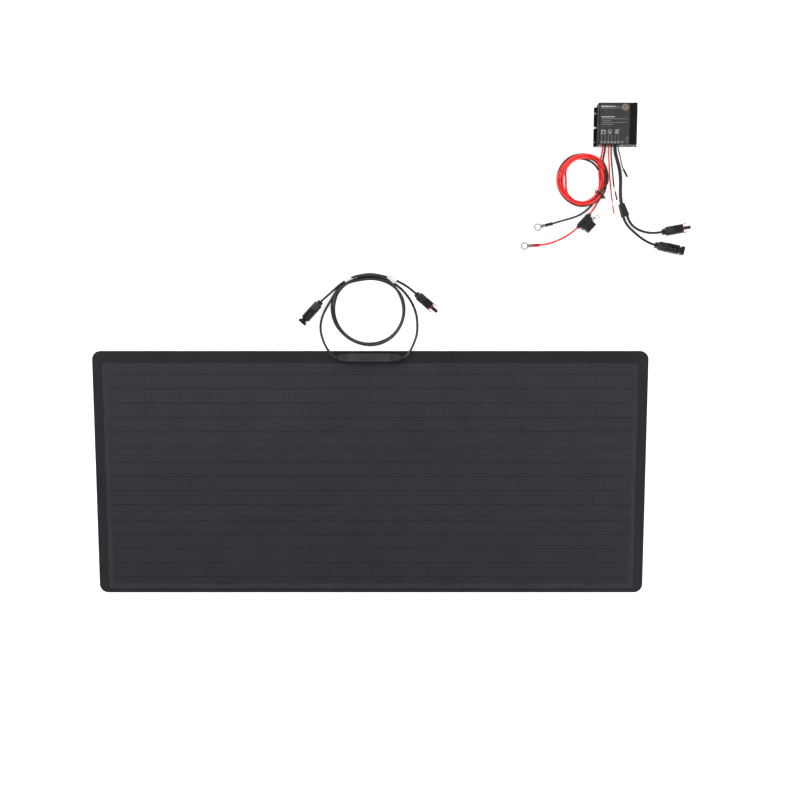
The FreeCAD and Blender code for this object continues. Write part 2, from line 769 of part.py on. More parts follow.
def flange(side):
    """The mounting foot along one side, with a hole near each end and an open notch."""
    half = CTRL_W / 2
    inner = half - 0.6
    outer = half + FLANGE_W
    y0 = CTRL_FRONT_Y
    low, high = sorted((side * inner, side * outer))
    foot = box((low, high), (y0 + PLATE_T, y0 + FLANGE_L), (0, FLANGE_T))
    low, high = sorted((side * (half + CLEARANCE), side * outer))
    foot = foot.fuse(box((low, high), (y0, y0 + PLATE_T + 1), (0, FLANGE_T)))
    x = side * FLANGE_HOLE_X
    for distance, radius in (UPPER_HOLE, LOWER_HOLE):
        foot = foot.cut(rod_z(radius, -1, FLANGE_T + 1, x, y0 + distance))
    foot = foot.cut(rod_z(NOTCH[1], -1, FLANGE_T + 1, x, y0 + NOTCH[0]))
    low, high = sorted((x, side * (outer + 1)))
    return foot.cut(
        box((low, high), (y0 + NOTCH[0] - NOTCH[1], y0 + NOTCH[0] + NOTCH[1]), (-1, FLANGE_T + 1))
    )


CABLE_HOLES = [
    (BATTERY_RED_IN[0][0], BATTERY_D / 2),
    (BATTERY_BLACK_IN[0][0], BATTERY_D / 2),
    (LOAD_RED[0][0], LOAD_D / 2),
    (LOAD_BLACK[0][0], LOAD_D / 2),
    (PV_CABLE[0][0], PV_CABLE_D / 2),
    (SENSOR_CABLE[0][0], SENSOR_D / 2),
]


def end_plate(y0):
    """A flat end plate with four screw holes."""
    half = CTRL_W / 2
    plate = soft_box((-half, half), (y0, y0 + PLATE_T), (0.2, CTRL_H), 1.4, Vec(0, 1, 0))
    for side in (-1, 1):
        for z in SCREW_Z:
            plate = plate.cut(rod_y(1.4, y0 - 1, y0 + PLATE_T + 1, side * SCREW_X, z))
    return plate


def plate_screw(x, z, outside_y, inward):
    """A pan-head screw through an end plate."""
    y_head = (outside_y - inward * (1.2 + SLIP), outside_y - inward * SLIP)
    y_shank = (outside_y - inward * (SLIP + 0.4), outside_y + inward * 9.0)
    head = rod_y(2.3, min(y_head), max(y_head), x, z)
    shank = rod_y(1.15, min(y_shank), max(y_shank), x, z)
    slot_y = (outside_y - inward * 1.4, outside_y - inward * 0.7)
    slot = box((x - 2.4, x + 2.4), (min(slot_y), max(slot_y)), (z - 0.3, z + 0.3))
    return head.fuse(shank).cut(slot)


def make_controller():
    """The finned case with its end plates, label, circuit board and indicator lights."""
    at = (CTRL_X, 0)
    case = case_section().fuse([flange(-1), flange(1)]).removeSplitter()
    save("controller_case", placed(case, at, 0))

    front = placed(end_plate(CTRL_FRONT_Y), at, 0)
    reach = (CTRL_FRONT_Y - 1, CTRL_FRONT_Y + PLATE_T + 1)
    for x, radius in CABLE_HOLES:
        front = front.cut(rod_y(radius + CLEARANCE, *reach, x, CABLE_EXIT_Z))
    for x in LED_X:
        front = front.cut(rod_y(1.55, *reach, CTRL_X + x, LED_Z))
    save("front_plate", front)
    back_y = CTRL_FRONT_Y + CTRL_L
    save("back_plate", placed(end_plate(back_y - PLATE_T), at, 0))

    screws = []
    for side in (-1, 1):
        for z in SCREW_Z:
            screws.append(plate_screw(CTRL_X + side * SCREW_X, z, CTRL_FRONT_Y, 1))
            screws.append(plate_screw(CTRL_X + side * SCREW_X, z, back_y, -1))
    save("plate_screws", *screws)

    label_y = (CTRL_FRONT_Y + 0.8, back_y - 0.8)
    label = soft_box(LABEL_X, label_y, (CTRL_H, CTRL_H + LABEL_T), 1.5, UP)
    save("controller_label", placed(label, at, 0))

    lights = []
    for x in LED_X:
        lens = rod_y(1.5, CTRL_FRONT_Y - 0.4, CTRL_FRONT_Y + 6, CTRL_X + x, LED_Z)
        dome = Part.makeSphere(1.5, Vec(CTRL_X + x, CTRL_FRONT_Y - 0.4, LED_Z))
        lights.append(lens.fuse(dome))
    save("indicator_lights", *lights)
    make_circuit_board()


def make_circuit_board():
    """The board on the case's ledges, with its larger components."""
    y0 = CTRL_FRONT_Y + 12.0
    y1 = CTRL_FRONT_Y + CTRL_L - 5.0
    top = 12.45
    board = box((-31.6, 31.6), (y0, y1), (top, top + 1.6))
    deck = top + 1.6
    pieces = [board]
    for x in (-24.0, -14.0, 14.0, 24.0):
        pieces.append(box((x - 4.5, x + 4.5), (y1 - 14, y1 - 4), (deck, deck + 4.0)))
    for x in (-20.0, -8.0):
        pieces.append(rod_z(4.0, deck, deck + 5.4, x, y0 + 28))
    pieces.append(box((4, 14), (y0 + 22, y0 + 32), (deck, deck + 1.4)))
    pieces.append(box((-26, 26), (y0 + 2, y0 + 9), (deck, deck + 3.5)))
    save("circuit_board", *[placed(piece, (CTRL_X, 0), 0) for piece in pieces])


# ---------------------------------------------------------------- battery leads


def make_battery_leads():
    """The red and the black battery lead: out of the case, through one coil, to the terminals."""
    save(
        "battery_lead_red",
        cord_tube("battery red, case to coil", BATTERY_RED_IN, BATTERY_D),
        cord_tube("battery red, coil to fuse", BATTERY_RED_OUT, BATTERY_D),
        cord_tube("battery red, fuse to terminal", FUSE_TAIL, BATTERY_D),
    )
    save(
        "battery_lead_black",
        cord_tube("battery black, case to coil", BATTERY_BLACK_IN, BATTERY_D),
        cord_tube("battery black, coil to terminal", BATTERY_BLACK_OUT, BATTERY_D),
    )
    save("battery_coil", ring_solid(COIL_CENTRE, COIL_R, COIL_HALF_W, COIL_Z, 3.4))
    band = wrap(COIL_CENTRE, -40.0, 43.5, 11.0, (0.0, 12.4), 3.6, 0.8)
    save("coil_tie", band)


def ring_terminal():
    """A crimp barrel and a flat eye, along +X from the middle of the sleeve."""
    barrel = rod_x(2.6, 8.0, SLEEVE_L + 2.0)
    low = -2.6
    eye = rod_z(TERMINAL_R, low, low + TERMINAL_T, TERMINAL_REACH, 0)
    tongue = box((SLEEVE_L, TERMINAL_REACH), (-3.4, 3.4), (low, low + TERMINAL_T))
    shape = barrel.fuse([eye, tongue])
    return shape.cut(rod_z(TERMINAL_HOLE_R, -4, 4, TERMINAL_REACH, 0)).removeSplitter()


def terminal_sleeve():
    """Shrink tube over the end of the cable and the crimp barrel."""
    shape = rod_x(SLEEVE_R, 0, SLEEVE_L).cut(rod_x(BATTERY_D / 2 + 0.1, -1, 8))
    return shape.cut(rod_x(2.6 + SLIP, 8, SLEEVE_L + 1))


def make_terminals():
    """Both leads' shrink sleeves and ring terminals."""
    ends = {"sleeve_black": BLACK_SLEEVE, "sleeve_red": RED_SLEEVE}
    for name, (at, angle) in ends.items():
        save(name, placed(terminal_sleeve(), at, angle, SLEEVE_R))
    save(
        "ring_terminals",
        *[placed(ring_terminal(), at, angle, SLEEVE_R) for at, angle in ends.values()],
    )


# ---------------------------------------------------------------- fuse holder


def fuse_base():
    """The wire side of the holder: a boot at each end and a pocket for the fuse's blades."""
    body = soft_box(
        (-FUSE_HALF_L, FUSE_HALF_L),
        (FUSE_BACK_Y, FUSE_SPLIT_Y),
        (-FUSE_HALF_T, FUSE_HALF_T),
        2.6,
        ALONG,
    )
    neck = box((-10.4, 10.4), (FUSE_SPLIT_Y - 1, FUSE_SPLIT_Y + 4), (-4.8, 4.8))
    boots = [
        rod_x(BOOT_R, -FUSE_HALF_L - BOOT_L, -FUSE_HALF_L + 1),
        rod_x(BOOT_R, FUSE_HALF_L - 1, FUSE_HALF_L + BOOT_L),
    ]
    shape = body.fuse([neck, *boots])
    shape = shape.cut(box((-9.8, 9.8), (FUSE_SPLIT_Y - 9, FUSE_SPLIT_Y + 5), (-3.0, 3.0)))
    for side in (-1, 1):
        low, high = sorted((side * 9.0, side * (FUSE_HALF_L + BOOT_L + 1)))
        shape = shape.cut(rod_x(BATTERY_D / 2 + 0.1, low, high))
    return shape


def fuse_cap():
    """The pull-off cap over the fuse."""
    half_w = 11.5
    start = FUSE_SPLIT_Y + SLIP
    shape = soft_box(
        (-half_w, half_w), (start, FUSE_CAP_Y), (-FUSE_HALF_T, FUSE_HALF_T), 2.4, Vec(0, 1, 0)
    )
    return shape.cut(box((-10.7, 10.7), (start - 1, FUSE_CAP_Y - 1.6), (-5.1, 5.1)))


def blade_fuse():
    """A blade fuse: a flat body and two blades."""
    body = box((-9.4, 9.4), (FUSE_SPLIT_Y + 0.6, FUSE_CAP_Y - 2.2), (-2.4, 2.4))
    blades = [
        box((side * 6.6 - 2.6, side * 6.6 + 2.6), (FUSE_SPLIT_Y - 7, FUSE_SPLIT_Y + 1), (-0.35, 0.35))
        for side in (-1, 1)
    ]
    return body.fuse(blades)


# The strap leaves the base, loops out, crosses over itself and ends beside the cap.
FUSE_STRAP = [
    (-FUSE_HALF_L - SLIP, 5.0, 1.6),
    (-17.2, 6.4, 1.0),
    (-18.8, 10.4, 0.4),
    (-20.0, 15.2, 0.2),
    (-22.6, 19.0, 0.4),
    (-26.8, 19.0, 1.4),
    (-28.2, 15.2, 2.6),
    (-25.4, 11.8, 3.6),
    (-20.4, 11.0, 4.0),
    (-15.6, 12.8, 3.6),
    (-11.5 - CLEARANCE, 14.6, 3.0),
]
STRAP_D = 1.4


def make_fuse_holder():
    """The in-line holder in the red lead, with its fuse and the strap that keeps the cap."""

    def put(shape):
        return placed(shape, FUSE_AT, FUSE_ANGLE, FUSE_Z)

    save("fuse_base", put(fuse_base()))
    save("fuse_cap", put(fuse_cap()))
    save("blade_fuse", put(blade_fuse()))
    save("cap_strap", put(cord_tube("cap strap", FUSE_STRAP, STRAP_D)))


# ---------------------------------------------------------------- other wires


def make_load_wires():
    """Two load wires, stripped near the end with the cut piece of cover left on."""
    cores = []
    for name, route, ending in (
        ("load_wire_red", LOAD_RED, LOAD_RED_END),
        ("load_wire_black", LOAD_BLACK, LOAD_BLACK_END),
    ):
        stub_start, stub_end = ending[1:]
        heading = Vec(*stub_end) - Vec(*stub_start)
        stub = Part.makeCylinder(LOAD_D / 2, heading.Length, Vec(*stub_start), heading)
        save(name, cord_tube(name, route, LOAD_D), stub)
        bare = Vec(*stub_start) - Vec(*ending[0])
        cores.append(Part.makeCylinder(LOAD_CORE_D / 2, bare.Length, Vec(*ending[0]), bare))
    save("load_cores", *cores)


def y_splitter():
    """A moulded splitter: one cable in, two out, with shallow grip grooves."""
    near, far = SPLITTER_HALF_W
    shape = prism([(0, -near), (SPLITTER_L, -far), (SPLITTER_L, far), (0, near)], 0, SPLITTER_H)
    long_edges = [e for e in shape.Edges if e.Length > SPLITTER_L - 1 and e.BoundBox.ZLength < 0.1]
    shape = shape.makeFillet(2.6, long_edges)
    for x in (4.5, 8.0, 11.5, 15.0, 18.5, 22.0):
        for z in ((-1, 0.5), (SPLITTER_H - 0.5, SPLITTER_H + 1)):
            shape = shape.cut(box((x, x + 1.3), (-3.6, 3.6), z))
    middle = SPLITTER_H / 2
    shape = shape.cut(rod_x(PV_CABLE_D / 2 + 0.1, -1, 8.0, 0, middle))
    for side in (-1, 1):
        bore = rod_x(LEAD_D / 2 + 0.1, 19.0, SPLITTER_L + 1, side * SPLIT_OFFSET, middle)
        shape = shape.cut(bore)
    return shape


def make_pv_wires():
    """The solar input cable with its splitter and two leads."""
    save("pv_cable", cord_tube("pv cable", PV_CABLE, PV_CABLE_D))
    save("pv_splitter", placed(y_splitter(), SPLITTER_AT, SPLITTER_ANGLE))
    save("pv_lead_upper", cord_tube("pv lead, upper", PV_LEAD_UPPER, LEAD_D))
    save("pv_lead_lower", cord_tube("pv lead, lower", PV_LEAD_LOWER, LEAD_D))


def make_sensor():
    """The temperature sensor and its thin cable."""
    save("sensor_cable", cord_tube("sensor cable", SENSOR_CABLE, SENSOR_D))
    probe = rod_x(PROBE_R, 0, PROBE_L - 1.4).fuse(Part.makeSphere(PROBE_R, Vec(PROBE_L - 1.4, 0, 0)))
    probe = probe.cut(rod_x(SENSOR_D / 2 + 0.1, -1, 3.0))
    save("sensor_probe", placed(probe, PROBE_AT, PROBE_ANGLE, PROBE_R))


os.makedirs("parts", exist_ok=True)
make_panel()
make_junction_box()
make_panel_leads()
make_plug("panel_plug", *PLUG_PANEL)
make_socket("panel_socket", *SOCKET_PANEL)
make_controller()
make_battery_leads()
make_terminals()
make_fuse_holder()
make_load_wires()
make_pv_wires()
make_plug("pv_plug", *PLUG_PV)
make_socket("pv_socket", *SOCKET_PV)
make_sensor()
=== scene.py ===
import math

import bmesh
import bpy
import numpy as np
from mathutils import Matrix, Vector


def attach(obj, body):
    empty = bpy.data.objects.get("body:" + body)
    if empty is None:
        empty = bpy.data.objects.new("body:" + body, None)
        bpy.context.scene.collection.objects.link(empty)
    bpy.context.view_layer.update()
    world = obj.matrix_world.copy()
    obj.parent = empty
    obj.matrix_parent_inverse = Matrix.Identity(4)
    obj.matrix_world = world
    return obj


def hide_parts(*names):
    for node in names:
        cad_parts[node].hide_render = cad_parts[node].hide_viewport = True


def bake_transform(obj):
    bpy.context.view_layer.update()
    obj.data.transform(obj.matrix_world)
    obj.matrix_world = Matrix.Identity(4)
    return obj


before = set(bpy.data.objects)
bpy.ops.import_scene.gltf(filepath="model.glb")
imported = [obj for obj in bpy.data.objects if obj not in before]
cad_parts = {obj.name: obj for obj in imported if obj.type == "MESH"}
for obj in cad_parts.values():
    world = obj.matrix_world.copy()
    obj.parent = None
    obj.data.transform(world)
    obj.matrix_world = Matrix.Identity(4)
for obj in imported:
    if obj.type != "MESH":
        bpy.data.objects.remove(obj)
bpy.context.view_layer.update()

# Looks of the flexible solar panel kit. Lengths are millimetres in the part's own frame, and MM
# turns them into metres. The camera, the lamps and the stage are placed in metres.

MM = 0.001

# Cables
LEAD_D = 5.0
BATTERY_D = 4.0
LOAD_D = 2.8
CORE_STRAND_D = 0.62
PV_CABLE_D = 7.0
SENSOR_D = 2.2
STRAP_D = 1.4

# Connectors, fuse holder, terminals, splitter and probe: where each one's own X axis starts
CONNECTOR_Z = 9.2
CABLE_END_X = 14.0
PLUG_PANEL = ((95.0, 377.6), -40.5)
SOCKET_PANEL = ((-101.5, 361.5), -132.4)
PLUG_PV = ((600.8, 503.1), 9.7)
SOCKET_PV = ((586.9, 476.9), -12.1)
FUSE_AT = (439.7, 525.65)
FUSE_ANGLE = -132.9
FUSE_Z = 6.8
BLACK_SLEEVE = ((376.6, 520.7), -167.6)
RED_SLEEVE = ((350.3, 477.0), -177.3)
SLEEVE_R = 3.5
SLEEVE_L = 16.4
SPLITTER_AT = (516.7, 560.5)
SPLITTER_ANGLE = -70.7
SPLITTER_L = 27.0
SPLITTER_H = 9.4
SPLIT_OFFSET = 4.2
PROBE_AT = (520.4, 630.4)
PROBE_ANGLE = -62.5
PROBE_R = 2.0
CABLE_EXIT_Z = 13.0
CABLE_IN_Y = 684.0
JBOX_Y = 245.0
LEAD_EXIT_Z = 9.0

# Panel
PANEL_W = 1165.0
PANEL_D = 518.0
PANEL_CORNER = 18.0
PANEL_T = 2.8
FILM_Z = (1.6, 2.06)
FILM_RIM = 2.0
CELL_PITCH_X = 79.0
CELL_PITCH_Y = 156.5
CELLS_Y = (-241.8, 227.8)
ROW_GAPS = ((-88.0, -82.0), (68.0, 74.0))
LAMINATE_X = 562.0
LAMINATE_Y = (-250.0, 233.0)

# Ring of the two panel leads and coil of the two battery leads. TURN_STEP is the angle, in
# degrees, between the points that turns() makes.
RING_CENTRE = (-5.6, 341.0)
COIL_CENTRE = (435.6, 608.0)
TURN_STEP = 10.0
TIE_ANGLE = -39.0

# Controller, its label's far left corner, and the print's places from that corner
CTRL_X = 501.2
LABEL_AT = (CTRL_X - 36.9, 756.7)
LABEL_TOP = 22.4
LED_X = (6.5, 11.5, 17.1)
INK_T = 0.08
CIRCLES_X = (4.3, 11.1, 18.1, 24.9, 31.7, 38.5, 45.9)
CIRCLES_Y = 76.9
WIRES_X = (4.3, 11.3, 18.3, 24.7, 31.7, 38.7)
BADGE_AT = (50.8, 8.4)

# Camera: metres and degrees, and the lens in millimetres
CAMERA_DISTANCE = 1.6
CAMERA_TILT = 4.93
CAMERA_LENS = 34.195
CAMERA_AIM = (0.0622, 0.1558, 0.0)

ROOT = "panel"
KIT = "controller_kit"


def along(at, angle, x, y=0.0):
    """A point x along and y across an axis that starts at a point."""
    turn = math.radians(angle)
    return (
        at[0] + x * math.cos(turn) - y * math.sin(turn),
        at[1] + x * math.sin(turn) + y * math.cos(turn),
    )


def in_splitter(x, y=0.0):
    """A point x along and y across the splitter, at half its height."""
    return (*along(SPLITTER_AT, SPLITTER_ANGLE, x, y), SPLITTER_H / 2)


# ---------------------------------------------------------------- camera


def make_camera():
    """Almost straight above, a little on the controller's side, with +Y up in the picture."""
    data = bpy.data.cameras.new("camera")
    data.sensor_width = 36.0
    data.lens = CAMERA_LENS
    data.clip_end = 50.0
    tilt = math.radians(CAMERA_TILT)
    camera = bpy.data.objects.new("camera", data)
    from_aim = CAMERA_DISTANCE * Vector((0, math.sin(tilt), math.cos(tilt)))
    camera.location = Vector(CAMERA_AIM) + from_aim
    camera.rotation_euler = (-tilt, 0, 0)
    bpy.context.scene.collection.objects.link(camera)
    bpy.context.scene.camera = camera


make_camera()


# ---------------------------------------------------------------- materials


def srgb(red, green, blue):
    """A linear colour from 0-255 display values."""
    linear = []
    for value in (red, green, blue):
        share = value / 255
        linear.append(share / 12.92 if share <= 0.04045 else ((share + 0.055) / 1.055) ** 2.4)
    return (*linear, 1.0)


WHITE = srgb(255, 255, 255)
HAZE = srgb(225, 225, 225)
FINGER_WAVES = 230.0


class Look:
    """A material under construction: its node tree and its shader."""

    def __init__(self, name):
        self.material = bpy.data.materials.new(name)
        self.material.use_nodes = True
        self.tree = self.material.node_tree
        self.shader = self.tree.nodes["Principled BSDF"]
        self.coords = self.tree.nodes.new("ShaderNodeTexCoord")

    def add(self, kind, **settings):
        node = self.tree.nodes.new(kind)
        for key, value in settings.items():
            setattr(node, key, value)
        return node

    def join(self, source, target):
        self.tree.links.new(source, target)

    def place(self, scale=(1, 1, 1), turn=0.0):
        """Object coordinates, scaled along the axes and turned about Z."""
        mapping = self.add("ShaderNodeMapping")
        mapping.inputs["Scale"].default_value = scale
        mapping.inputs["Rotation"].default_value = (0, 0, math.radians(turn))
        self.join(self.coords.outputs["Object"], mapping.inputs["Vector"])
        return mapping.outputs["Vector"]

    def noise(self, scale, detail=4.0, place=None):
        texture = self.add("ShaderNodeTexNoise")
        texture.inputs["Scale"].default_value = scale
        texture.inputs["Detail"].default_value = detail
        self.join(place or self.coords.outputs["Object"], texture.inputs["Vector"])
        return texture.outputs[0]

    def wave(self, scale, direction, distortion=0.0, place=None):
        texture = self.add("ShaderNodeTexWave", wave_type="BANDS", bands_direction=direction)
        texture.inputs["Scale"].default_value = scale
        texture.inputs["Distortion"].default_value = distortion
        self.join(place or self.coords.outputs["Object"], texture.inputs["Vector"])
        return texture.outputs["Fac"]

    def ramp(self, source, *stops, sharp=False):
        node = self.add("ShaderNodeValToRGB")
        node.color_ramp.interpolation = "CONSTANT" if sharp else "LINEAR"
        elements = node.color_ramp.elements
        while len(elements) < len(stops):
            elements.new(0.5)
        for element, (position, colour) in zip(elements, stops):
            element.position = position
            element.color = colour
        self.join(source, node.inputs["Fac"])
        return node.outputs["Color"]

    def span(self, source, low, high, start=0.3, end=0.7):
        """Stretches a 0-1 pattern to a range of values."""
        node = self.add("ShaderNodeMapRange")
        node.inputs["From Min"].default_value = start
        node.inputs["From Max"].default_value = end
        node.inputs["To Min"].default_value = low
        node.inputs["To Max"].default_value = high
        self.join(source, node.inputs["Value"])
        return node.outputs["Result"]

    def number(self, operation, first, second=0.0):
        """One step of arithmetic on a coordinate."""
        node = self.add("ShaderNodeMath", operation=operation)
        self.join(first, node.inputs[0])
        if isinstance(second, float):
            node.inputs[1].default_value = second
        else:
            self.join(second, node.inputs[1])
        return node.outputs["Value"]

    def axes(self):
        split = self.add("ShaderNodeSeparateXYZ")
        self.join(self.coords.outputs["Object"], split.inputs["Vector"])
        return split.outputs

    def within(self, axis, low, high):
        """1 where a coordinate lies between two values in millimetres."""
        offset = self.number("SUBTRACT", axis, (low + high) / 2 * MM)
        distance = self.number("ABSOLUTE", offset)
        return self.number("LESS_THAN", distance, (high - low) / 2 * MM)

    def choose(self, factor, where_no, where_yes):
        node = self.add("ShaderNodeMix", data_type="RGBA")
        self.join(factor, node.inputs["Factor"])
        self.join(where_no, node.inputs["A"])
        self.join(where_yes, node.inputs["B"])
        return node.outputs["Result"]

    def multiply(self, first, second, share=1.0):
        node = self.add("ShaderNodeMix", data_type="RGBA", blend_type="MULTIPLY")
        node.inputs["Factor"].default_value = share
        self.join(first, node.inputs["A"])
        self.join(second, node.inputs["B"])
        return node.outputs["Result"]

    def colour(self, source):
        self.join(source, self.shader.inputs["Base Color"])

    def roughness(self, source):
        self.join(source, self.shader.inputs["Roughness"])

    def bump(self, source, depth, before=None):
        """A height pattern whose full range is depth metres high."""
        node = self.add("ShaderNodeBump")
        node.inputs["Distance"].default_value = depth
        self.join(source, node.inputs["Height"])
        if before is not None:
            self.join(before, node.inputs["Normal"])
        self.join(node.outputs["Normal"], self.shader.inputs["Normal"])
        return node.outputs["Normal"]

    def set(self, **values):
        for key, value in values.items():
            self.shader.inputs[key.replace("_", " ")].default_value = value
        return self


def moulded(name, dark, light, rough=(0.35, 0.5), grain=900.0, depth=0.00003, specular=0.5):
    """Moulded plastic or rubber: faint mottling, uneven gloss and a fine grain."""
    look = Look(name)
    look.colour(look.ramp(look.noise(60.0), (0.35, srgb(*dark)), (0.65, srgb(*light))))
    look.roughness(look.span(look.noise(220.0), *rough))
    look.bump(look.noise(grain, 2.0), depth)
    look.set(Specular_IOR_Level=specular)
    return look.material


def metal(name, dark, light, rough=(0.22, 0.4), grain=700.0, depth=0.00002):
    """Plated or bare metal with soft scratches."""
    look = Look(name)
    look.colour(look.ramp(look.noise(130.0), (0.3, srgb(*dark)), (0.7, srgb(*light))))
    look.roughness(look.span(look.noise(420.0), *rough))
    look.bump(look.noise(grain, 6.0, look.place((1, 6, 1), 30)), depth)
    look.set(Metallic=1.0)
    return look.material


def cell_look():
    """Silicon: a violet cast, darkened by painted shade towards the near edge, with finger lines
    that run front to back, faint bands across them and a slightly different tone for each cell."""
    look = Look("silicon")
    shade = look.ramp(look.noise(5.0, 3.0), (0.3, srgb(73, 71, 75)), (0.7, srgb(79, 77, 83)))
    # Painted shade: the cells get darker towards the near edge, in place of the lamps' fall-off across the
    # panel.
    painted_light_falloff = look.span(look.axes()["Y"], 0.0, 1.0, -0.25, 0.25)
    painted_light_falloff = look.ramp(painted_light_falloff, (0.0, srgb(172, 173, 176)), (1.0, WHITE))
    bands = look.ramp(look.wave(64.0, "Y"), (0.0, WHITE), (1.0, srgb(246, 246, 247)))
    shade = look.multiply(look.multiply(shade, painted_light_falloff), bands)
    fingers = look.ramp(
        look.wave(FINGER_WAVES, "X"),
        (0.0, WHITE),
        (0.9, srgb(236, 236, 238)),
        (1.0, srgb(214, 214, 220)),
    )
    cells = look.add("ShaderNodeVectorMath", operation="SNAP")
    cells.inputs[1].default_value = (CELL_PITCH_X * MM, CELL_PITCH_Y * MM, 1.0)
    look.join(look.coords.outputs["Object"], cells.inputs[0])
    tone = look.add("ShaderNodeTexWhiteNoise")
    look.join(cells.outputs["Vector"], tone.inputs["Vector"])
    per_cell = look.ramp(tone.outputs["Value"], (0.0, srgb(246, 246, 247)), (1.0, WHITE))
    look.colour(look.multiply(look.multiply(shade, fingers), per_cell))
    look.roughness(look.span(look.noise(90.0), 0.45, 0.6))
    look.bump(look.wave(FINGER_WAVES, "X"), 0.00001)
    look.set(Specular_IOR_Level=0.25)
    return look.material


def board_look():
    """The back sheet: neutral at the border, violet where the laminate shines between cells."""
    look = Look("back_sheet")
    patches = look.noise(30.0)
    border = look.ramp(patches, (0.3, srgb(6, 5, 5)), (0.7, srgb(11, 10, 10)))
    violet = look.ramp(patches, (0.3, srgb(70, 64, 78)), (0.7, srgb(79, 73, 87)))
    seam = look.ramp(patches, (0.3, srgb(40, 38, 42)), (0.7, srgb(47, 45, 49)))
    x, y, _ = look.axes()
    from_half_seam = look.number("PINGPONG", look.number("ABSOLUTE", x), CELL_PITCH_X * MM)
    half_seam = look.number("LESS_THAN", from_half_seam, CELL_PITCH_X * MM / 4)
    row_gap = look.number("ADD", look.within(y, *ROW_GAPS[0]), look.within(y, *ROW_GAPS[1]))
    half_seam = look.number("GREATER_THAN", half_seam, row_gap)
    half_seam = look.number("MULTIPLY", half_seam, look.within(y, *CELLS_Y))
    laminate = look.within(x, -LAMINATE_X, LAMINATE_X)
    laminate = look.number("MULTIPLY", laminate, look.within(y, *LAMINATE_Y))
    look.colour(look.choose(laminate, border, look.choose(half_seam, violet, seam)))
    look.roughness(look.span(look.noise(220.0), 0.5, 0.65))
    look.bump(look.noise(500.0, 2.0), 0.00004)
    look.set(Specular_IOR_Level=0.2)
    return look.material


def film_look():
    """The clear, matt, finely embossed front film."""
    look = Look("front_film_clear")
    look.colour(look.ramp(look.noise(14.0), (0.3, srgb(54, 52, 57)), (0.7, srgb(60, 58, 63))))
    look.roughness(look.span(look.noise(60.0), 0.42, 0.56))
    dimples = look.add("ShaderNodeTexVoronoi")
    dimples.inputs["Scale"].default_value = 700.0
    look.join(look.coords.outputs["Object"], dimples.inputs["Vector"])
    look.bump(dimples.outputs["Distance"], 0.00006)
    look.set(Alpha=0.3, Specular_IOR_Level=0.35, IOR=1.42)
    return look.material


def by_height(name, levels, rough=(0.35, 0.55)):
    """One finish for a node whose layers differ in colour: (height in mm, colour) pairs."""
    look = Look(name)
    low = levels[0][0]
    high = levels[-1][0] + 1.0
    place = look.span(look.axes()["Z"], 0.0, 1.0, low * MM, high * MM)
    stops = [((height - low) / (high - low), colour) for height, colour in levels]
    tones = look.ramp(place, *stops, sharp=True)
    mottle = look.ramp(look.noise(160.0), (0.3, HAZE), (0.7, WHITE))
    look.colour(look.multiply(tones, mottle))
    look.roughness(look.span(look.noise(300.0), *rough))
    look.bump(look.noise(1200.0), 0.00002)
    return look.material


def light_look():
    """Three lamp lenses side by side: teal, yellow and red."""
    look = Look("lamp_lenses")
    low, high = (CTRL_X + LED_X[0] - 3) * MM, (CTRL_X + LED_X[2] + 3) * MM
    tones = look.ramp(
        look.span(look.axes()["X"], 0.0, 1.0, low, high),
        (0.0, srgb(96, 214, 190)),
        (0.34, srgb(238, 214, 110)),
        (0.67, srgb(232, 40, 40)),
        sharp=True,
    )
    haze = look.ramp(look.noise(500.0), (0.3, HAZE), (0.7, WHITE))
    look.colour(look.multiply(tones, haze))
    look.roughness(look.span(look.noise(350.0), 0.12, 0.25))
    look.set(Coat_Weight=0.6)
    return look.material


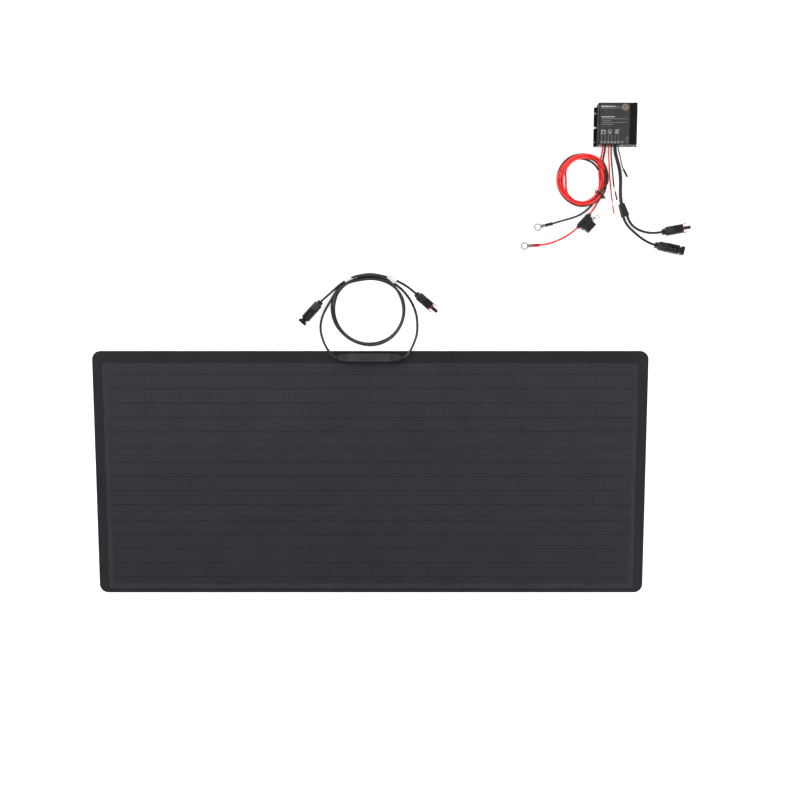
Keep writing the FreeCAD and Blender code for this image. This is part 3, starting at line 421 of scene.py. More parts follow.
LOOKS = {
    "cable_black": moulded("cable_black", (21, 19, 19), (38, 34, 33), (0.3, 0.46), 1600.0, 0.00002),
    "wire_black": moulded("wire_black", (16, 14, 16), (30, 27, 29), (0.26, 0.4), 1600.0, 0.00002),
    "wire_red": moulded("wire_red", (228, 28, 26), (252, 56, 50), (0.24, 0.36), 1600.0, 0.00002),
    "sensor_black": moulded("sensor_black", (20, 19, 19), (38, 36, 36), (0.35, 0.5), 1600.0, 0.00002),
    "silicon": cell_look(),
    "film": film_look(),
    "lenses": light_look(),
    "board": board_look(),
    "ribbon": moulded("blackened_ribbon", (2, 2, 2), (4, 4, 4), (0.5, 0.65), 700.0, specular=0.0),
    "box_plastic": moulded("box_plastic", (41, 39, 40), (54, 51, 53), (0.42, 0.58), 1100.0),
    "rubber": moulded("rubber_black", (29, 27, 27), (43, 40, 40), (0.5, 0.7), 800.0),
    "connector": moulded("connector_plastic", (14, 13, 13), (28, 26, 25), (0.3, 0.45), 1300.0),
    "case": moulded("case_coating", (4, 4, 4), (12, 12, 12), (0.36, 0.5), 1500.0, 0.00004, 0.3),
    "fuse": moulded("fuse_plastic", (20, 20, 21), (34, 34, 35), (0.32, 0.46), 1400.0),
    "fuse_body": moulded("fuse_body", (196, 120, 24), (226, 146, 40), (0.25, 0.4)),
    "seal_red": moulded("seal_red", (176, 20, 18), (206, 34, 28), (0.35, 0.5)),
    "label": moulded("label_film", (54, 54, 55), (62, 62, 63), (0.4, 0.52), 1800.0, 0.00001, 0.35),
    "print": moulded("label_ink", (196, 196, 198), (224, 224, 226), (0.5, 0.65), 2000.0, 0.00001),
    "print_dim": moulded("label_ink_dim", (128, 128, 130), (156, 156, 158), (0.5, 0.65), 2000.0, 0.00001),
    "gold": metal("badge_gold", (196, 160, 74), (232, 202, 122), (0.3, 0.45)),
    "silver": metal("badge_silver", (190, 190, 190), (224, 224, 226), (0.3, 0.45)),
    "tape": moulded("tape_white", (226, 226, 228), (246, 246, 248), (0.5, 0.65), 700.0, 0.00003),
    "tie": moulded("tie_black", (20, 19, 21), (36, 34, 37), (0.4, 0.55), 900.0),
    "sleeve_black": moulded("shrink_black", (18, 18, 18), (32, 31, 31), (0.16, 0.32), 500.0, 0.00008),
    "sleeve_red": moulded("shrink_red", (158, 10, 30), (204, 20, 44), (0.16, 0.32), 500.0, 0.00008),
    "tinned": metal("tinned_copper", (160, 160, 158), (200, 199, 196), (0.42, 0.56)),
    "steel": metal("screw_steel", (120, 120, 120), (176, 176, 178), (0.25, 0.42)),
    "strands": metal("bare_strands", (170, 168, 164), (222, 220, 214), (0.25, 0.4)),
    "circuit": by_height("circuit_board", [(12.0, srgb(22, 78, 48)), (14.1, srgb(30, 30, 32))]),
    "box_circuit": by_height("box_circuit", [(4.0, srgb(196, 186, 168)), (5.1, srgb(28, 28, 30))]),
}

# Each look and the CAD nodes that wear it
LOOK_NODES = {
    "board": ["back_board"],
    "silicon": ["solar_cells"],
    "ribbon": ["cell_ribbons"],
    "box_plastic": ["jbox_base", "jbox_lid"],
    "rubber": ["jbox_gasket", "jbox_end_caps", "pv_splitter", "sensor_probe"],
    "box_circuit": ["jbox_circuit"],
    "case": ["controller_case", "front_plate", "back_plate"],
    "steel": ["plate_screws"],
    "label": ["controller_label"],
    "lenses": ["indicator_lights"],
    "circuit": ["circuit_board"],
    "tinned": ["ring_terminals"],
    "sleeve_black": ["sleeve_black"],
    "sleeve_red": ["sleeve_red"],
    "fuse": ["fuse_base", "fuse_cap"],
    "fuse_body": ["blade_fuse"],
    "connector": [],
    "seal_red": [],
}
for group in ("panel", "pv"):
    for part in ("plug_housing", "plug_nut", "plug_latch_left", "plug_latch_right"):
        LOOK_NODES["connector"].append(f"{group}_{part}")
    for part in ("socket_housing", "socket_nut"):
        LOOK_NODES["connector"].append(f"{group}_{part}")
    LOOK_NODES["rubber"].append(f"{group}_socket_seal")
    LOOK_NODES["seal_red"].append(f"{group}_plug_seals")
    LOOK_NODES["tinned"] += [f"{group}_plug_contact", f"{group}_socket_contact"]


def paint(piece, look):
    """Gives a piece one material."""
    piece.data.materials.clear()
    piece.data.materials.append(LOOKS[look])
    return piece


for look_name, node_names in LOOK_NODES.items():
    for node_name in node_names:
        paint(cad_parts[node_name], look_name)


# Radius, in millimetres, of the worn edges, and the moulded and pressed parts that have it
EDGES = {
    0.2: ["plate_screws"],
    0.3: ["jbox_base", "controller_case", "ring_terminals", "panel_plug_housing", "pv_plug_housing"],
    0.35: ["front_plate", "back_plate", "panel_socket_housing", "pv_socket_housing"],
    0.4: ["jbox_end_caps", "pv_splitter"],
    0.5: ["fuse_base"],
    0.6: ["fuse_cap"],
}
for radius, node_names in EDGES.items():
    for node_name in node_names:
        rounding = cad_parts[node_name].modifiers.new("worn_edges", "BEVEL")
        rounding.width = radius * MM
        rounding.segments = 2
        rounding.limit_method = "ANGLE"
        rounding.angle_limit = math.radians(50)
        rounding.harden_normals = False


# ---------------------------------------------------------------- shapes


def finish_piece(piece, look, body, replaced=()):
    """Puts a piece in the scene with its look and the body it rides on."""
    if piece.name not in bpy.context.scene.collection.objects:
        bpy.context.scene.collection.objects.link(piece)
    paint(piece, look)
    if body:
        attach(piece, body)
    if replaced:
        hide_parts(*replaced)
    return piece


def solid_piece(name, shells, look, body, *replaced, sharp=40.0):
    """One mesh of closed shells. A shell is a row of equally long loops of points in
    millimetres, with its first and last loop capped or, where joined is true, bridged."""
    shape = bmesh.new()
    for loops, joined in shells:
        rows = [[shape.verts.new([c * MM for c in point]) for point in loop] for loop in loops]
        if joined:
            rows.append(rows[0])
        else:
            shape.faces.new(rows[0])
            shape.faces.new(rows[-1])
        for low, high in zip(rows, rows[1:]):
            for i in range(len(low)):
                shape.faces.new((low[i - 1], low[i], high[i], high[i - 1]))
    bmesh.ops.recalc_face_normals(shape, faces=shape.faces)
    for face in shape.faces:
        face.smooth = True
    for edge in shape.edges:
        edge.smooth = edge.calc_face_angle(0.0) < math.radians(sharp)
    mesh = bpy.data.meshes.new(name)
    shape.to_mesh(mesh)
    shape.free()
    return finish_piece(bpy.data.objects.new(name, mesh), look, body, replaced)


def rounded(x, y, radius, steps=6):
    """The outline of a rectangle, from its two spans, with round corners."""
    points = []
    for corner, (cx, cy) in enumerate(((1, 1), (0, 1), (0, 0), (1, 0))):
        centre = (x[cx] + (radius if cx == 0 else -radius), y[cy] + (radius if cy == 0 else -radius))
        for i in range(steps + 1):
            points.append(along(centre, 90 * (corner + i / steps), radius))
    return points


def circle(centre, radius, steps=24):
    return [along(centre, 360 * i / steps, radius) for i in range(steps)]


def lifted(outline, height):
    return [(x, y, height) for x, y in outline]


def slab(outline, low, high):
    """A flat shell from its outline and its two heights."""
    return [lifted(outline, low), lifted(outline, high)], False


def washer(centre, inner, outer, low, high):
    """A flat ring."""
    loops = [(inner, low), (outer, low), (outer, high), (inner, high)]
    return [lifted(circle(centre, radius), height) for radius, height in loops], True


def turned(at, angle, height, profile, flat=1.0, steps=20):
    """A round shell along an axis, from (distance, radius) pairs; flat squeezes its height."""
    loops = []
    for distance, radius in profile:
        loop = []
        for i in range(steps):
            turn = 2 * math.pi * i / steps
            x, y = along(at, angle, distance, radius * math.cos(turn))
            loop.append((x, y, height + flat * radius * math.sin(turn)))
        loops.append(loop)
    return loops, False


# ---------------------------------------------------------------- cords


def smooth_between(at, stations):
    """Radius and height at an angle, on smooth curves through (angle, radius, height) rows."""
    table = np.array(stations, float)
    if table[0, 0] > table[-1, 0]:
        table = table[::-1]
    angles = table[:, 0]
    slopes = np.gradient(table[:, 1:], angles, axis=0)
    spot = min(max(int(np.searchsorted(angles, at)) - 1, 0), len(angles) - 2)
    width = angles[spot + 1] - angles[spot]
    t = (at - angles[spot]) / width
    return (
        (2 * t**3 - 3 * t**2 + 1) * table[spot, 1:]
        + (t**3 - 2 * t**2 + t) * width * slopes[spot]
        + (3 * t**2 - 2 * t**3) * table[spot + 1, 1:]
        + (t**3 - t**2) * width * slopes[spot + 1]
    )


def turns(centre, stations):
    """Points along a winding, evenly spaced in angle from its first station to its last."""
    first = stations[0][0]
    last = stations[-1][0]
    count = round(abs(last - first) / TURN_STEP)
    points = []
    for i in range(count + 1):
        angle = first + (last - first) * i / count
        radius, height = smooth_between(angle, stations)
        x, y = along(centre, angle, radius)
        points.append((x, y, height))
    return points


def settle(strands, held, diameter, floor, pull, sink, rounds=220):
    """Pushes strands that cross until they lie a diameter apart, and lets the rest sink.

    held gives how many points at each strand's start and end stay where they are. pull is
    how hard each point is drawn back to its place in plan, sink how fast it falls."""
    points = np.concatenate([np.array(s, float) for s in strands])
    counts = [len(s) for s in strands]
    owner = np.repeat(np.arange(len(strands)), counts)
    index = np.concatenate([np.arange(c) for c in counts])
    fixed = np.zeros(len(points), bool)
    start = 0
    for count, (first, last) in zip(counts, held):
        fixed[start : start + first] = True
        fixed[start + count - last : start + count] = True
        start += count
    home = points.copy()
    heads = np.flatnonzero(owner[:-1] == owner[1:])
    inner = heads[1:][owner[heads[1:] - 1] == owner[heads[1:]]]
    neighbours = (owner[:, None] == owner[heads]) & (abs(index[:, None] - index[heads] - 0.5) < 3)
    push_share = 0.3
    smoothing = 0.25
    for turn in range(rounds):
        a = points[heads]
        d = points[heads + 1] - a
        reach = points[:, None] - a
        t = np.clip((reach * d).sum(2) / (d * d).sum(1), 0, 1)
        gap = reach - t[..., None] * d
        distance = np.maximum(np.linalg.norm(gap, axis=2), 1e-6)
        push = np.clip(diameter - distance, 0, None)
        push[neighbours] = 0
        shift = push_share * (push / distance)[..., None] * gap
        points += shift.sum(1)
        np.subtract.at(points, heads, (shift * (1 - t)[..., None]).sum(0))
        np.subtract.at(points, heads + 1, (shift * t[..., None]).sum(0))
        middle = (points[inner - 1] + points[inner + 1]) / 2
        points[inner, 2] += smoothing * (middle - points[inner])[:, 2]
        points[:, :2] += pull * (home - points)[:, :2]
        points[:, 2] -= sink * (1 - turn / rounds)
        points[:, 2] = np.maximum(points[:, 2], floor)
        points[fixed] = home[fixed]
    settled = []
    start = 0
    for count in counts:
        settled.append([tuple(p) for p in points[start : start + count]])
        start += count
    return settled


def cord_curve(name, points, diameter, look, body, *replaced):
    """A round cord on a smooth line that the points, in millimetres, control."""
    curve = bpy.data.curves.new(name, "CURVE")
    curve.dimensions = "3D"
    curve.resolution_u = 6
    curve.bevel_depth = diameter / 2 * MM
    curve.bevel_resolution = 5
    curve.use_fill_caps = True
    spline = curve.splines.new("NURBS")
    spline.points.add(len(points) - 1)
    for target, point in zip(spline.points, points):
        target.co = (point[0] * MM, point[1] * MM, point[2] * MM, 1.0)
    spline.order_u = 3
    spline.use_endpoint_u = True
    return finish_piece(bpy.data.objects.new(name, curve), look, body, replaced)


def mesh_of(piece):
    return bpy.data.meshes.new_from_object(piece.evaluated_get(bpy.context.evaluated_depsgraph_get()))


def line_of(piece):
    """The points of a cord's own smooth line, in metres."""
    bare = piece.copy()
    bare.data = piece.data.copy()
    bare.data.bevel_depth = 0
    bpy.context.scene.collection.objects.link(bare)
    bpy.context.view_layer.update()
    points = [v.co.copy() for v in mesh_of(bare).vertices]
    bpy.data.objects.remove(bare)
    return points


def length_of(piece):
    points = line_of(piece)
    return sum((b - a).length for a, b in zip(points, points[1:]))


# Routes, from where each cord leaves its gland or plate. The rows of a list that ends
# in TURNS are (angle in degrees, radius, height) around the ring's or the coil's centre.
LEAD_A_IN = [
    (-55.5, JBOX_Y, LEAD_EXIT_Z), (-67.8, JBOX_Y, LEAD_EXIT_Z), (-78.0, 247.4, 9.6),
    (-85.6, 257.4, 9.0), (-94.2, 271.0, 6.2), (-101.4, 289.0, 3.0), (-104.4, 308.0, 2.5),
    (-100.4, 329.5, 2.5), (-90.8, 348.8, 2.6), (-79.6, 364.0, 4.0),
]
LEAD_A_TURNS = [
    (150, 76.6, 7.4), (137, 73.4, 8.0), (122, 70.0, 8.0), (106, 66.0, 6.6), (90, 66.2, 6.4),
    (75, 68.2, 6.6), (60, 71.0, 7.4), (40, 75.6, 7.9), (20, 78.0, 7.6), (0, 77.0, 7.6),
    (-20, 75.6, 7.6), (-40, 74.3, 7.6), (-60, 72.8, 7.5), (-80, 70.8, 7.4), (-100, 68.8, 7.5),
    (-120, 67.9, 7.7), (-140, 68.9, 7.5), (-160, 71.4, 7.3), (-180, 73.6, 6.8), (-195, 75.0, 6.2),
    (-208, 76.6, 4.6), (-222, 77.6, 3.0), (-240, 77.2, 3.0), (-262, 76.4, 3.0), (-280, 78.2, 3.0),
]
LEAD_A_OUT = [
    (33.4, 412.6, 3.2), (53.0, 405.8, 3.2), (70.0, 397.0, 3.4), (82.6, 388.4, 6.4),
    (*PLUG_PANEL[0], CONNECTOR_Z), (*along(*PLUG_PANEL, CABLE_END_X), CONNECTOR_Z),
]
LEAD_B_IN = [
    (53.5, JBOX_Y, LEAD_EXIT_Z), (65.8, JBOX_Y, LEAD_EXIT_Z), (75.4, 247.6, 9.6),
    (83.2, 258.4, 9.0), (90.2, 272.6, 6.2), (97.4, 291.5, 3.0), (98.6, 312.0, 2.5),
    (97.0, 332.6, 2.5), (90.2, 353.0, 2.5), (79.4, 371.4, 2.5), (65.4, 387.6, 2.6),
    (48.6, 399.6, 2.9),
]
LEAD_B_TURNS = [
    (60, 74.0, 2.9), (75, 71.8, 2.9), (92, 70.6, 2.9), (110, 70.6, 2.9), (130, 72.0, 2.9),
    (150, 73.0, 2.9), (170, 71.2, 2.9), (190, 68.8, 2.8), (210, 67.1, 2.8), (230, 66.1, 2.8),
    (250, 66.0, 2.8), (270, 66.8, 2.8), (290, 68.4, 2.8), (310, 71.0, 2.8), (330, 73.0, 2.8),
    (350, 74.6, 2.8), (370, 75.2, 2.8), (390, 75.4, 2.8), (405, 76.6, 3.6), (420, 77.6, 6.4),
    (435, 76.0, 7.7), (452, 74.2, 7.6), (470, 75.8, 7.6),
]
LEAD_B_OUT = [
    (-43.0, 408.2, 7.6), (-58.8, 398.8, 6.2), (-73.0, 387.0, 5.4), (-86.8, 374.4, 7.0),
    (*SOCKET_PANEL[0], CONNECTOR_Z), (*along(*SOCKET_PANEL, CABLE_END_X), CONNECTOR_Z),
]
BATTERY_RED_IN = [
    (474.2, CABLE_IN_Y, CABLE_EXIT_Z), (474.2, 670.5, 12.9), (473.4, 660.5, 9.9),
    (472.2, 651.5, 6.6), (471.0, 642.0, 3.8), (470.4, 633.0, 2.4),
]
RED_TURNS = [
    (24, 38.4, 2.2), (0, 36.4, 2.4), (-30, 40.6, 2.4), (-60, 43.6, 2.4), (-90, 46.0, 2.4),
    (-120, 43.6, 2.4), (-150, 37.0, 2.2), (-180, 32.8, 2.2), (-210, 39.4, 2.4), (-240, 43.2, 2.6),
    (-270, 45.0, 2.8), (-300, 47.0, 3.4), (-330, 43.0, 4.6), (-360, 39.6, 5.7), (-390, 42.2, 5.7),
    (-420, 44.6, 5.7), (-450, 46.8, 5.8), (-480, 44.4, 5.8), (-510, 42.2, 5.7), (-540, 41.2, 5.7),
    (-570, 41.6, 5.7), (-600, 44.0, 5.8), (-630, 46.2, 6.0), (-660, 48.6, 6.0), (-690, 45.4, 6.0),
    (-720, 43.4, 6.0), (-750, 44.6, 6.0), (-780, 47.0, 6.0), (-810, 48.4, 6.0), (-840, 46.4, 6.0),
    (-870, 45.8, 6.0), (-900, 46.2, 6.0), (-930, 46.4, 6.0), (-960, 48.0, 6.0), (-990, 48.8, 6.4),
    (-1020, 50.4, 6.6), (-1050, 48.4, 7.0), (-1080, 46.6, 7.4), (-1110, 47.0, 7.0),
    (-1140, 49.6, 6.6), (-1170, 50.6, 6.4), (-1200, 48.8, 6.2), (-1230, 49.8, 6.0),
    (-1260, 51.4, 6.0), (-1290, 49.4, 6.2), (-1320, 49.8, 6.4), (-1350, 50.8, 6.6),
    (-1380, 52.6, 6.6), (-1410, 51.4, 6.4), (-1440, 50.4, 6.0), (-1466, 50.0, 4.8),
]
BATTERY_RED_OUT = [
    (475.2, 574.5, 4.4), (468.0, 563.2, 3.8), (460.8, 551.6, 4.8), (453.4, 540.6, FUSE_Z),
    (*along(FUSE_AT, FUSE_ANGLE, -9.0), FUSE_Z),
]
BATTERY_BLACK_IN = [
    (478.9, CABLE_IN_Y, CABLE_EXIT_Z), (478.9, 670.5, 12.9), (478.1, 660.5, 9.9),
    (476.9, 651.5, 6.6), (477.0, 642.0, 3.9), (477.4, 633.0, 2.4),
]
BLACK_TURNS = [
    (24, 45.6, 2.2), (0, 43.4, 2.3), (-30, 45.2, 2.3), (-60, 48.0, 2.3), (-90, 50.0, 2.3),
    (-120, 47.2, 2.3), (-150, 43.8, 2.3), (-180, 42.6, 2.3), (-225, 44.8, 2.3), (-270, 44.2, 2.3),
    (-300, 41.2, 2.3), (-315, 40.2, 2.3), (-330, 40.2, 2.4), (-360, 40.4, 2.6), (-390, 44.2, 2.4),
    (-420, 46.4, 2.3), (-450, 47.8, 2.3), (-480, 46.0, 2.3), (-510, 46.4, 2.3), (-540, 47.0, 2.3),
    (-585, 47.6, 2.3), (-630, 48.4, 2.4), (-660, 46.4, 3.4), (-690, 46.2, 6.4), (-720, 47.6, 9.4),
    (-750, 49.0, 8.4), (-780, 51.4, 5.0), (-810, 51.8, 2.8), (-840, 50.0, 2.4), (-870, 50.4, 2.4),
    (-900, 51.4, 2.4), (-930, 52.4, 2.6), (-960, 53.4, 2.8), (-990, 52.8, 2.8), (-1020, 53.2, 4.0),
    (-1050, 51.4, 7.6), (-1080, 49.8, 10.4), (-1110, 45.2, 10.8),
]
BATTERY_BLACK_OUT = [
    (467.0, 572.0, 9.6), (457.8, 559.4, 5.2), (446.0, 547.2, 2.4), (431.4, 537.8, 2.0),
    (414.2, 531.6, 2.0), (395.6, 526.6, 2.4), (376.6, 520.9, SLEEVE_R),
    (*along(*BLACK_SLEEVE, 8.0), SLEEVE_R),
]
FUSE_TAIL = [
    (*along(FUSE_AT, FUSE_ANGLE, 9.0), FUSE_Z), (425.2, 510.1, FUSE_Z), (414.4, 501.0, 4.8),
    (401.6, 493.0, 2.4), (385.4, 485.6, 2.0), (368.2, 479.6, 2.4), (350.3, 477.2, SLEEVE_R),
    (*along(*RED_SLEEVE, 8.0), SLEEVE_R),
]
LOAD_RED = [
    (485.6, CABLE_IN_Y, CABLE_EXIT_Z), (485.7, 671.0, 12.9), (487.1, 659.5, 9.2),
    (489.1, 647.5, 4.8), (490.9, 633.0, 1.7), (492.3, 616.5, 1.4), (494.4, 599.5, 1.4),
    (496.4, 582.5, 1.4), (498.8, 565.8, 1.4),
]
LOAD_RED_END = [LOAD_RED[-1], (499.8, 558.0, 1.4), (503.2, 540.9, 1.4)]
LOAD_BLACK = [
    (490.8, CABLE_IN_Y, CABLE_EXIT_Z), (490.9, 671.0, 12.9), (492.1, 660.0, 9.2),
    (494.2, 648.5, 4.8), (496.7, 634.5, 1.7), (498.7, 620.5, 1.4), (500.0, 607.5, 1.4),
    (501.7, 595.2, 1.4),
]
LOAD_BLACK_END = [LOAD_BLACK[-1], (504.1, 585.9, 1.4), (508.5, 568.8, 1.4)]
PV_CABLE = [
    (498.2, CABLE_IN_Y, CABLE_EXIT_Z), (498.2, 671.5, 12.95), (500.4, 660.5, 11.0),
    (504.9, 648.5, 7.6), (509.8, 636.0, 4.6), (513.0, 622.5, 3.7), (514.6, 607.5, 3.5),
    (514.4, 591.5, 3.5), (514.9, 575.5, 3.9), in_splitter(0.0), in_splitter(8.0),
]
PV_LEAD_UPPER = [
    in_splitter(19.0, SPLIT_OFFSET), in_splitter(SPLITTER_L, SPLIT_OFFSET), (533.6, 526.4, 3.9),
    (540.4, 517.6, 2.9), (550.0, 510.4, 2.5), (561.6, 505.2, 3.0), (574.4, 501.8, 5.4),
    (587.4, 501.1, 8.2), (*PLUG_PV[0], CONNECTOR_Z), (*along(*PLUG_PV, CABLE_END_X), CONNECTOR_Z),
]
PV_LEAD_LOWER = [
    in_splitter(19.0, -SPLIT_OFFSET), in_splitter(SPLITTER_L, -SPLIT_OFFSET), (525.8, 523.6, 3.8),
    (534.0, 513.4, 2.8), (544.8, 503.8, 2.5), (555.6, 494.6, 3.2), (566.4, 486.4, 5.6),
    (576.4, 480.4, 8.2), (*SOCKET_PV[0], CONNECTOR_Z),
    (*along(*SOCKET_PV, CABLE_END_X), CONNECTOR_Z),
]
SENSOR_CABLE = [
    (504.3, CABLE_IN_Y, CABLE_EXIT_Z), (504.4, 672.5, 12.9), (507.3, 664.0, 10.4),
    (511.0, 656.6, 7.6), (513.8, 647.8, 4.6), (516.4, 638.6, 2.7), (*PROBE_AT, PROBE_R),
    (*along(PROBE_AT, PROBE_ANGLE, 3.0), PROBE_R),
]

# Along and across the fuse holder, from its middle, and up
FUSE_STRAP = [
    (-14.05, 5.0, 1.6), (-17.2, 6.4, 1.0), (-18.8, 10.4, 0.4), (-20.0, 15.2, 0.2),
    (-22.6, 19.0, 0.4), (-26.8, 19.0, 1.4), (-28.2, 15.2, 2.6), (-25.4, 11.8, 3.6),
    (-20.4, 11.0, 4.0), (-15.6, 12.8, 3.6), (-11.8, 14.6, 3.0),
]


def wound(centre, ways, diameter, floor, pull, sink):
    """The settled points of cords that are wound together: each way is in, turns and out."""
    routes = []
    held = []
    for first, winding, last in ways:
        routes.append(first + turns(centre, winding) + last)
        held.append((len(first) - 1, len(last) - 1))
    return settle(routes, held, diameter, floor, pull, sink)


def make_panel_leads():
    """Both panel leads, each box to ring to connector in one piece."""
    ways = ((LEAD_A_IN, LEAD_A_TURNS, LEAD_A_OUT), (LEAD_B_IN, LEAD_B_TURNS, LEAD_B_OUT))
    routes = wound(RING_CENTRE, ways, LEAD_D + 0.1, LEAD_D / 2 + 0.3, pull=0.15, sink=0.0)
    lead_a = cord_curve("lead_a", routes[0], LEAD_D, "cable_black", ROOT, "panel_lead_a", "panel_lead_ring")
    lead_b = cord_curve("lead_b", routes[1], LEAD_D, "cable_black", ROOT, "panel_lead_b")
    return lead_a, lead_b


def make_battery_leads():
    """The red lead to the fuse holder and the black lead to its terminal, through one coil."""
    ways = (
        (BATTERY_RED_IN, RED_TURNS, BATTERY_RED_OUT),
        (BATTERY_BLACK_IN, BLACK_TURNS, BATTERY_BLACK_OUT),
    )
    routes = wound(COIL_CENTRE, ways, BATTERY_D + 0.1, BATTERY_D / 2 + 0.1, pull=0.1, sink=0.03)
    red = cord_curve("battery_red", routes[0], BATTERY_D, "wire_red", KIT, "battery_lead_red", "battery_coil")
    black = cord_curve("battery_black", routes[1], BATTERY_D, "wire_black", KIT, "battery_lead_black")
    tail = cord_curve("fuse_tail", FUSE_TAIL, BATTERY_D, "wire_red", KIT)
    return red, black, tail


def strap_piece():
    """The strap between the holder and its cap, as one mesh."""
    points = []
    for x, y, z in FUSE_STRAP:
        points.append((*along(FUSE_AT, FUSE_ANGLE, x, y), z + FUSE_Z))
    cord = cord_curve("strap_line", points, STRAP_D, "fuse", None)
    path = [list(point) for point in line_of(cord)]
    mesh = mesh_of(cord)
    bpy.data.objects.remove(cord)
    shape = bmesh.new()
    shape.from_mesh(mesh)
    bmesh.ops.remove_doubles(shape, verts=shape.verts, dist=0.00001)
    shape.to_mesh(mesh)
    shape.free()
    strap = finish_piece(bpy.data.objects.new("strap", mesh), "fuse", None, ["cap_strap"])
    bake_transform(strap)
    return strap, path


def band(centre, angle, across, heights, wall, length, corner, steps=6):
    """A closed sleeve along an arc, from its spans of radius and of height."""
    half = math.degrees(length / (across[0] + across[1]))
    outside = rounded(across, heights, corner)
    inner_across = (across[0] + wall, across[1] - wall)
    inside = rounded(inner_across, (heights[0] + wall, heights[1] - wall), corner - wall / 2)
    loops = []
    for section, order in ((outside, range(steps + 1)), (inside, range(steps, -1, -1))):
        for i in order:
            turn = angle + half * (2 * i / steps - 1)
            loops.append([(*along(centre, turn, radius), z) for radius, z in section])
    return loops, True


def twist(name, start, end, strand_d, spread, count, turns_made, look, body):
    """Several strands twisted around each other on a straight line."""
    curve = bpy.data.curves.new(name, "CURVE")
    curve.dimensions = "3D"
    curve.bevel_depth = strand_d / 2 * MM
    curve.bevel_resolution = 3
    curve.use_fill_caps = True
    heading = Vector(end) - Vector(start)
    side = heading.cross(Vector((0, 0, 1))).normalized()
    above = side.cross(heading).normalized()
    steps = 14
    for strand in range(count):
        spline = curve.splines.new("NURBS")
        spline.points.add(steps)
        for i in range(steps + 1):
            turn = 2 * math.pi * (strand / count + turns_made * i / steps)
            offset = spread * (math.cos(turn) * side + math.sin(turn) * above)
            spline.points[i].co = (*((Vector(start) + heading * i / steps + offset) * MM), 1.0)
        spline.order_u = 3
        spline.use_endpoint_u = True
    return finish_piece(bpy.data.objects.new(name, curve), look, body)


def load_end(colour, ending):
    """The bare twisted core past the end of a load wire, and the cut piece of cover on it."""
    core_start, stub_start, stub_end = (Vector(point) for point in ending)
    heading = (stub_end - stub_start).normalized()
    back = (core_start - stub_start).normalized()
    start = core_start + 1.5 * back
    end = stub_start + 1.5 * heading
    core = twist(f"load_core_{colour}", start, end, CORE_STRAND_D, 0.48, 5, 0.9, "strands", KIT)
    length = (stub_end - stub_start).length
    profile = [(0, 0.9), (0.05, 1.25), (0.25, LOAD_D / 2)]
    profile += [(length - 0.25, LOAD_D / 2), (length - 0.05, 1.25), (length, 0.9)]
    angle = math.degrees(math.atan2(heading.y, heading.x))
    shell = turned(stub_start[:2], angle, stub_start.z, profile)
    stub = solid_piece(f"load_stub_{colour}", [shell], f"wire_{colour}", KIT)
    return [core, stub]


# Distance along the shrink tube and radius there
SHRINK_PROFILE = [
    (-0.3, 2.2), (0.0, 2.85), (0.5, 3.3), (2.6, 3.45), (4.8, 3.2), (6.6, 3.4), (8.6, 3.15),
    (10.8, 3.4), (13.4, 3.25), (15.6, 3.4), (16.3, 3.05), (SLEEVE_L + 0.2, 2.75),
]


def make_sleeves():
    """Shrink tube over each crimp, drawn in a little between the crimp's ridges."""
    for colour, (at, angle) in (("black", BLACK_SLEEVE), ("red", RED_SLEEVE)):
        shell = turned(at, angle, SLEEVE_R, SHRINK_PROFILE, flat=0.95, steps=28)
        name = f"sleeve_{colour}"
        solid_piece(f"shrink_{colour}", [shell], name, KIT, name, sharp=60.0)


def make_wraps():
    """Two white tape labels around the ring's outer strands, and the twist tie on the coil."""
    left = band(RING_CENTRE, 121.0, (73.4, 88.0), (0.2, 10.8), wall=0.35, length=16.0, corner=2.6)
    right = band(RING_CENTRE, 53.0, (76.2, 89.6), (0.2, 6.2), wall=0.35, length=20.0, corner=2.4)
    tape = solid_piece("tape_labels", [left, right], "tape", ROOT, "lead_wraps")
    loop = band(
        COIL_CENTRE, TIE_ANGLE, (35.3, 57.2), (0.0, 14.4), wall=0.5, length=3.4, corner=3.4, steps=3
    )
    pieces = [solid_piece("tie_band", [loop], "tie", KIT, "coil_tie")]
    for side, from_radius, end_angle, end_radius, end_height, turns_made in (
        ("outer", 57.0, -36.6, 61.0, 4.4, 1.6),
        ("inner", 35.6, -37.0, 32.6, 5.0, 1.2),
    ):
        start = (*along(COIL_CENTRE, TIE_ANGLE, from_radius), 7.0)
        end = (*along(COIL_CENTRE, end_angle, end_radius), end_height)
        pieces.append(twist(f"tie_tail_{side}", start, end, 1.3, 0.5, 2, turns_made, "tie", KIT))
    return tape, pieces


def make_film():
    """The clear front film: a shallow lid over the cells, its rim bonded to the back sheet."""
    loops = []
    for margin, height in (
        (FILM_RIM, FILM_Z[1]),
        (FILM_RIM, FILM_Z[0]),
        (0, FILM_Z[0]),
        (0, PANEL_T - 0.3),
        (0.3, PANEL_T),
    ):
        half_w = PANEL_W / 2 - margin
        half_d = PANEL_D / 2 - margin
        corner = max(PANEL_CORNER - margin, 3.0)
        loops.append(lifted(rounded((-half_w, half_w), (-half_d, half_d), corner, 8), height))
    solid_piece("clear_film", [(loops, False)], "film", ROOT, "front_film", sharp=30.0)


# ---------------------------------------------------------------- label


def ink(outline):
    """A printed patch: its outline, in the label's own millimetres, turned into a thin shell."""
    placed = [(LABEL_AT[0] + x, LABEL_AT[1] - y) for x, y in outline]
    return slab(placed, LABEL_TOP - INK_T / 2, LABEL_TOP + INK_T)


def bar(x0, x1, y, height):
    return ink([(x0, y - height / 2), (x1, y - height / 2), (x1, y + height / 2), (x0, y + height / 2)])


def post(x, y0, y1, width):
    return bar(x - width / 2, x + width / 2, (y0 + y1) / 2, y1 - y0)


